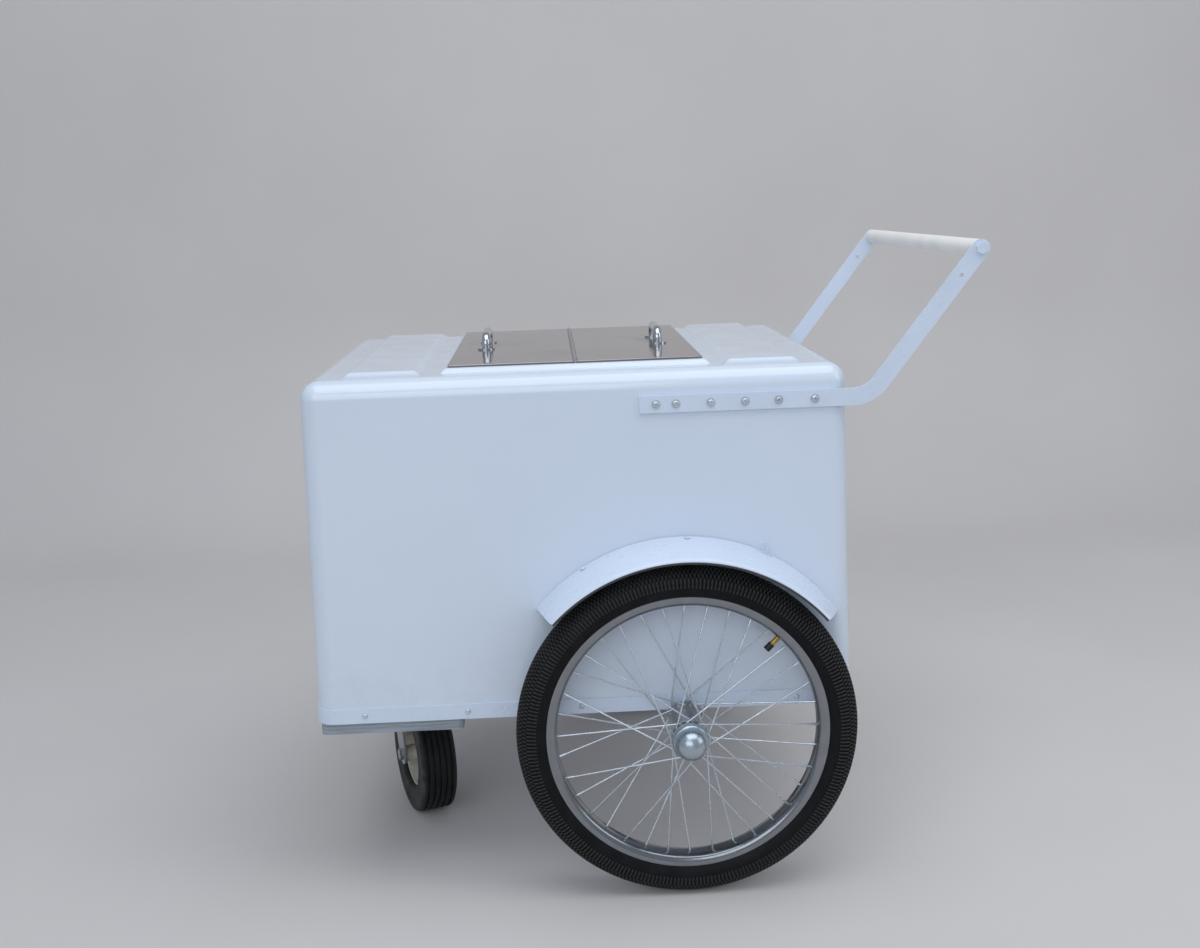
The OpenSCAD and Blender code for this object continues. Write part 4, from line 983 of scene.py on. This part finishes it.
class CART_OT_screws(bpy.types.Operator):
    """Model one pan-head screw, and copy it to the arms and the edge strip"""

    bl_idname = "cart.screws"
    bl_label = "Screws"
    # Along the cart: from the arm's front end, and from the middle of the strip
    arm_places = (0.024, 0.053, 0.104, 0.154, 0.203, 0.256)
    strip_places = (-0.332, -0.178, -0.006, 0.157, 0.319)
    # Across the cart, at its two ends
    end_place = 0.165
    strip_head = 0.0024

    def execute(self, context):
        f = finishes(context)
        screw = self.screw()
        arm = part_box("left_arm")[0]
        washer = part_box("arm_washers")[0][1]
        height = middle("arm_washers").z
        places = []
        for offset in self.arm_places:
            places += self.both_sides(arm[0] + offset, washer, height)
        self.spread(screw, places, 1.0, "arm_screw_heads", f["screw"], "zinc", "arm_screws")
        low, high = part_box("band_screws")
        mid = middle("band_screws")
        places = []
        for offset in self.strip_places:
            places += self.both_sides(mid.x + offset, low[1] + self.strip_head, mid.z)
        for y in (-self.end_place, self.end_place):
            places.append((Vector((low[0] + self.strip_head, y, mid.z)), -math.pi / 2))
            places.append((Vector((high[0] - self.strip_head, y, mid.z)), math.pi / 2))
        self.spread(screw, places, 0.9, "strip_screw_heads", f["screw"], "zinc", "band_screws")
        only(screw)
        bpy.ops.object.delete()
        return {"FINISHED"}

    def both_sides(self, x, y, z):
        """A place and turn on the left, and their mirror on the right."""
        return [(Vector((x, y, z)), 0), (Vector((x, -y, z)), math.pi)]

    def screw(self):
        """A pan-head screw at the origin, its head towards -Y, with a cross recess."""
        height, shank_l, edge = 0.0027, 0.012, 0.0019
        upright = (math.pi / 2, 0, 0)
        head = begin(
            "pan_screw", bpy.ops.mesh.primitive_cylinder_add, vertices=28, radius=0.0046, depth=height,
            location=(0, -height / 2, 0), rotation=upright,
        )
        pick(head, "EDGE", lambda a, b: max(a.y, b.y) < -0.9 * height)
        bpy.ops.mesh.bevel(offset=edge, segments=5, profile=0.5, affect="EDGES")
        leave()
        shank = begin(
            "shank", bpy.ops.mesh.primitive_cylinder_add, vertices=16, radius=0.002, depth=shank_l,
            location=(0, shank_l / 2, 0), rotation=upright,
        )
        slots = [
            begin(
                "recess", bpy.ops.mesh.primitive_cube_add, size=1, location=(0, -0.0026, 0),
                scale=(0.0052, 0.0024, 0.0011), rotation=(0, turn, 0),
            )
            for turn in (0.4, 0.4 + math.pi / 2)
        ]
        for slot in slots:
            join_with(head, slot, "DIFFERENCE")
        return joined([head, shank], "pan_screw")

    def spread(self, screw, places, scale, name, material, slot, node):
        """Copies the screw to each place and turns it to face outwards there."""
        made = []
        for index, (place, turn) in enumerate(places):
            copy = copy_of(screw, name + str(index))
            driven = Matrix.Rotation(index * 0.9, 4, "Y") @ Matrix.Scale(scale, 4)
            copy.matrix_world = Matrix.Translation(place) @ Matrix.Rotation(turn, 4, "Z") @ driven
            bpy.ops.object.transform_apply(location=True, rotation=True, scale=True)
            made.append(copy)
        piece = joined(made, name)
        smooth(piece, 35, False)
        dress(piece, material, "cart", slot, node)


class CART_OT_caster(bpy.types.Operator):
    """Model the caster's ribbed tyre, and round and finish its board, fork and rim"""

    bl_idname = "cart.caster"
    bl_label = "Caster"

    def execute(self, context):
        f = finishes(context)
        s = context.scene.cart_caster
        joint = next(j for j in frame["joints"] if j["name"] == "caster_wheel_spin")
        centre = Vector(joint["pos_m"])
        turn = math.atan2(-joint["axis"][0], joint["axis"][1])
        tyre = self.tyre(s)
        tyre.matrix_world = Matrix.Translation(centre) @ Matrix.Rotation(turn, 4, "Z")
        only(tyre)
        bpy.ops.object.transform_apply(location=True, rotation=True, scale=True)
        smooth(tyre, 38)
        dress(tyre, f["caster_tyre"], "caster_wheel", "caster_tyre_black", "caster_tyre")
        rim = softened("caster_rim", "pressed_rim", 0.0012, flat=False)
        dress(rim, f["cream"], "caster_wheel", "caster_paint", "caster_rim")
        fork = softened("caster_fork", "pressed_fork", 0.0008)
        dress(fork, f["zinc"], "caster_fork", "zinc", "caster_fork")
        board = softened("caster_board", "plank", 0.0018)
        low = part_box("caster_board")[0]
        pick(board, "EDGE", lambda a, b: max(a.z, b.z) < low[2] + 1e-4 and max(a.x, b.x) < low[0] + 1e-4)
        bpy.ops.mesh.bevel(offset=s.heel_board, segments=6, affect="EDGES")
        leave()
        smooth(board, 50)
        dress(board, f["board"], "cart", "board", "caster_board")
        coat(f["zinc"], "caster_axle", "caster_plate", "caster_kingpin", "board_bolts")
        return {"FINISHED"}

    def tyre(self, s):
        """A tyre with round shoulders and grooves, at the origin, its axle along Y."""
        half = s.width / 2
        wall = []
        for d in range(0, 91, 15):
            a = math.radians(d)
            wall.append((s.radius - s.heel + s.heel * math.cos(a), half - s.heel + s.heel * math.sin(a)))
        wall += [
            (s.seat + out, half - back)
            for out, back in (
                (0.028, 0), (0.026, 0.0010), (0.012, 0.0018), (0.009, 0.0008), (0.006, 0.0012),
                (0.001, 0.0065),
            )
        ]
        crown = []
        for i in range(-2, 3):
            for dy, depth in ((-0.0020, 0), (-0.0012, s.groove), (0.0012, s.groove), (0.0020, 0)):
                crown.append((s.radius - depth, i * s.width / 6 + dy))
        outline = [(r, -y) for r, y in wall[::-1]] + crown + wall
        outline += [(s.seat, half - 0.012), (s.seat, -half + 0.012)]
        return lathe("caster_ribbed_tyre", outline, (0, 0, 0), 128)


class CART_OT_axle(bpy.types.Operator):
    """Finish the axle with its brackets, bolts and nuts"""

    bl_idname = "cart.axle"
    bl_label = "Axle"

    def execute(self, context):
        coat(finishes(context)["zinc"], "axle", "axle_brackets", "bracket_bolts", "axle_nuts")
        return {"FINISHED"}


class CART_OT_stage(bpy.types.Operator):
    """Set a pale floor and backdrop, soft studio light and the camera"""

    bl_idname = "cart.stage"
    bl_label = "Stage"

    def execute(self, context):
        floor = Finish("pale_floor", Roughness=0.85)
        tone = floor.noise(1.2, 3.0)
        floor.set("Base Color", tone.span(0.3, 0.7).blend((0.66, 0.63, 0.61), (0.70, 0.67, 0.65)))
        ground = begin("floor", bpy.ops.mesh.primitive_plane_add, size=1)
        ground.scale = (14, 8, 1)
        ground.location = (0, -1.6, -0.0005)
        bpy.ops.object.transform_apply(location=True, rotation=True, scale=True)
        pick(ground, "EDGE", lambda a, b: min(a.y, b.y) > 2)
        bpy.ops.mesh.extrude_region_move(TRANSFORM_OT_translate={"value": (0, 0, 5)})
        leave()
        pick(ground, "EDGE", lambda a, b: min(a.y, b.y) > 2 and max(a.z, b.z) < 0.1)
        bpy.ops.mesh.bevel(offset=0.7, segments=14, affect="EDGES")
        leave()
        smooth(ground, 60, False)
        ground.data.materials.append(floor.material)
        self.light("overhead", (0.2, -0.8, 3.4), (0, 0, 0.5), 3.6, 2.6, 52, (0.92, 0.96, 1.0))
        self.light("front_soft", (-1.6, -4.6, 2.6), (0, 0, 0.5), 4.2, 2.6, 52, (0.90, 0.95, 1.0))
        self.light("handle_side", (3.6, -1.4, 2.2), (0, 0, 0.6), 2.0, 2.2, 18, (1.0, 0.98, 0.95))
        world = bpy.data.worlds.new("studio")
        world.use_nodes = True
        sky = world.node_tree.nodes["Background"].inputs
        sky["Color"].default_value = (0.78, 0.86, 1.0, 1)
        sky["Strength"].default_value = 0.43
        context.scene.world = world
        context.scene.view_settings.view_transform = "Standard"
        self.camera(context)
        return {"FINISHED"}

    def light(self, name, place, target, width, height, power, tint):
        only(None)
        bpy.ops.object.light_add(type="AREA", location=place)
        lamp = bpy.context.object
        lamp.name = name
        lamp.rotation_euler = (Vector(target) - Vector(place)).to_track_quat("-Z", "Y").to_euler()
        lamp.data.shape = "RECTANGLE"
        lamp.data.size = width
        lamp.data.size_y = height
        lamp.data.energy = power
        lamp.data.color = tint

    def camera(self, context):
        turn, tilt, roll = -0.034, -0.196, 0.034
        view = Matrix.Rotation(turn, 4, "Z") @ Matrix.Rotation(tilt, 4, "X") @ Matrix.Rotation(roll, 4, "Y")
        only(None)
        bpy.ops.object.camera_add()
        camera = bpy.context.object
        camera.name = "view_camera"
        camera.matrix_world = (
            Matrix.Translation((-0.1313, -2.3193, 1.0302)) @ view @ Matrix.Rotation(math.pi / 2, 4, "X")
        )
        camera.data.sensor_width = 36
        camera.data.lens = 41.5
        camera.data.clip_start = 0.05
        context.scene.camera = camera


class CART_PT_panel(bpy.types.Panel):
    """The cart's pieces, sizes and colours"""

    bl_label = "Push Vending Cart"
    bl_idname = "CART_PT_panel"
    bl_space_type = "VIEW_3D"
    bl_region_type = "UI"
    bl_category = "Cart"

    def draw(self, context):
        column = self.layout.column()
        for operator in OPERATORS:
            column.operator(operator.bl_idname)
        for group in GROUPS:
            column.separator()
            values = getattr(context.scene, group)
            for name in values.__annotations__:
                column.prop(values, name)


GROUPS = {
    "cart_body": CartBodySizes,
    "cart_lids": CartLidSizes,
    "cart_wheels": CartWheelSizes,
    "cart_fenders": CartFenderSizes,
    "cart_caster": CartCasterSizes,
    "cart_colours": CartColours,
}
OPERATORS = (
    CART_OT_stage,
    CART_OT_body,
    CART_OT_base,
    CART_OT_lids,
    CART_OT_wheels,
    CART_OT_fenders,
    CART_OT_handle,
    CART_OT_screws,
    CART_OT_caster,
    CART_OT_axle,
)


def register():
    for group in (*GROUPS.values(), *OPERATORS, CART_PT_panel):
        bpy.utils.register_class(group)
    for name, group in GROUPS.items():
        setattr(bpy.types.Scene, name, bpy.props.PointerProperty(type=group))


def unregister():
    for name in GROUPS:
        delattr(bpy.types.Scene, name)
    for group in (CART_PT_panel, *reversed(OPERATORS), *GROUPS.values()):
        bpy.utils.unregister_class(group)


def main():
    register()
    for operator in OPERATORS:
        getattr(bpy.ops.cart, operator.bl_idname.split(".")[1])()


if __name__ == "__main__":
    main()
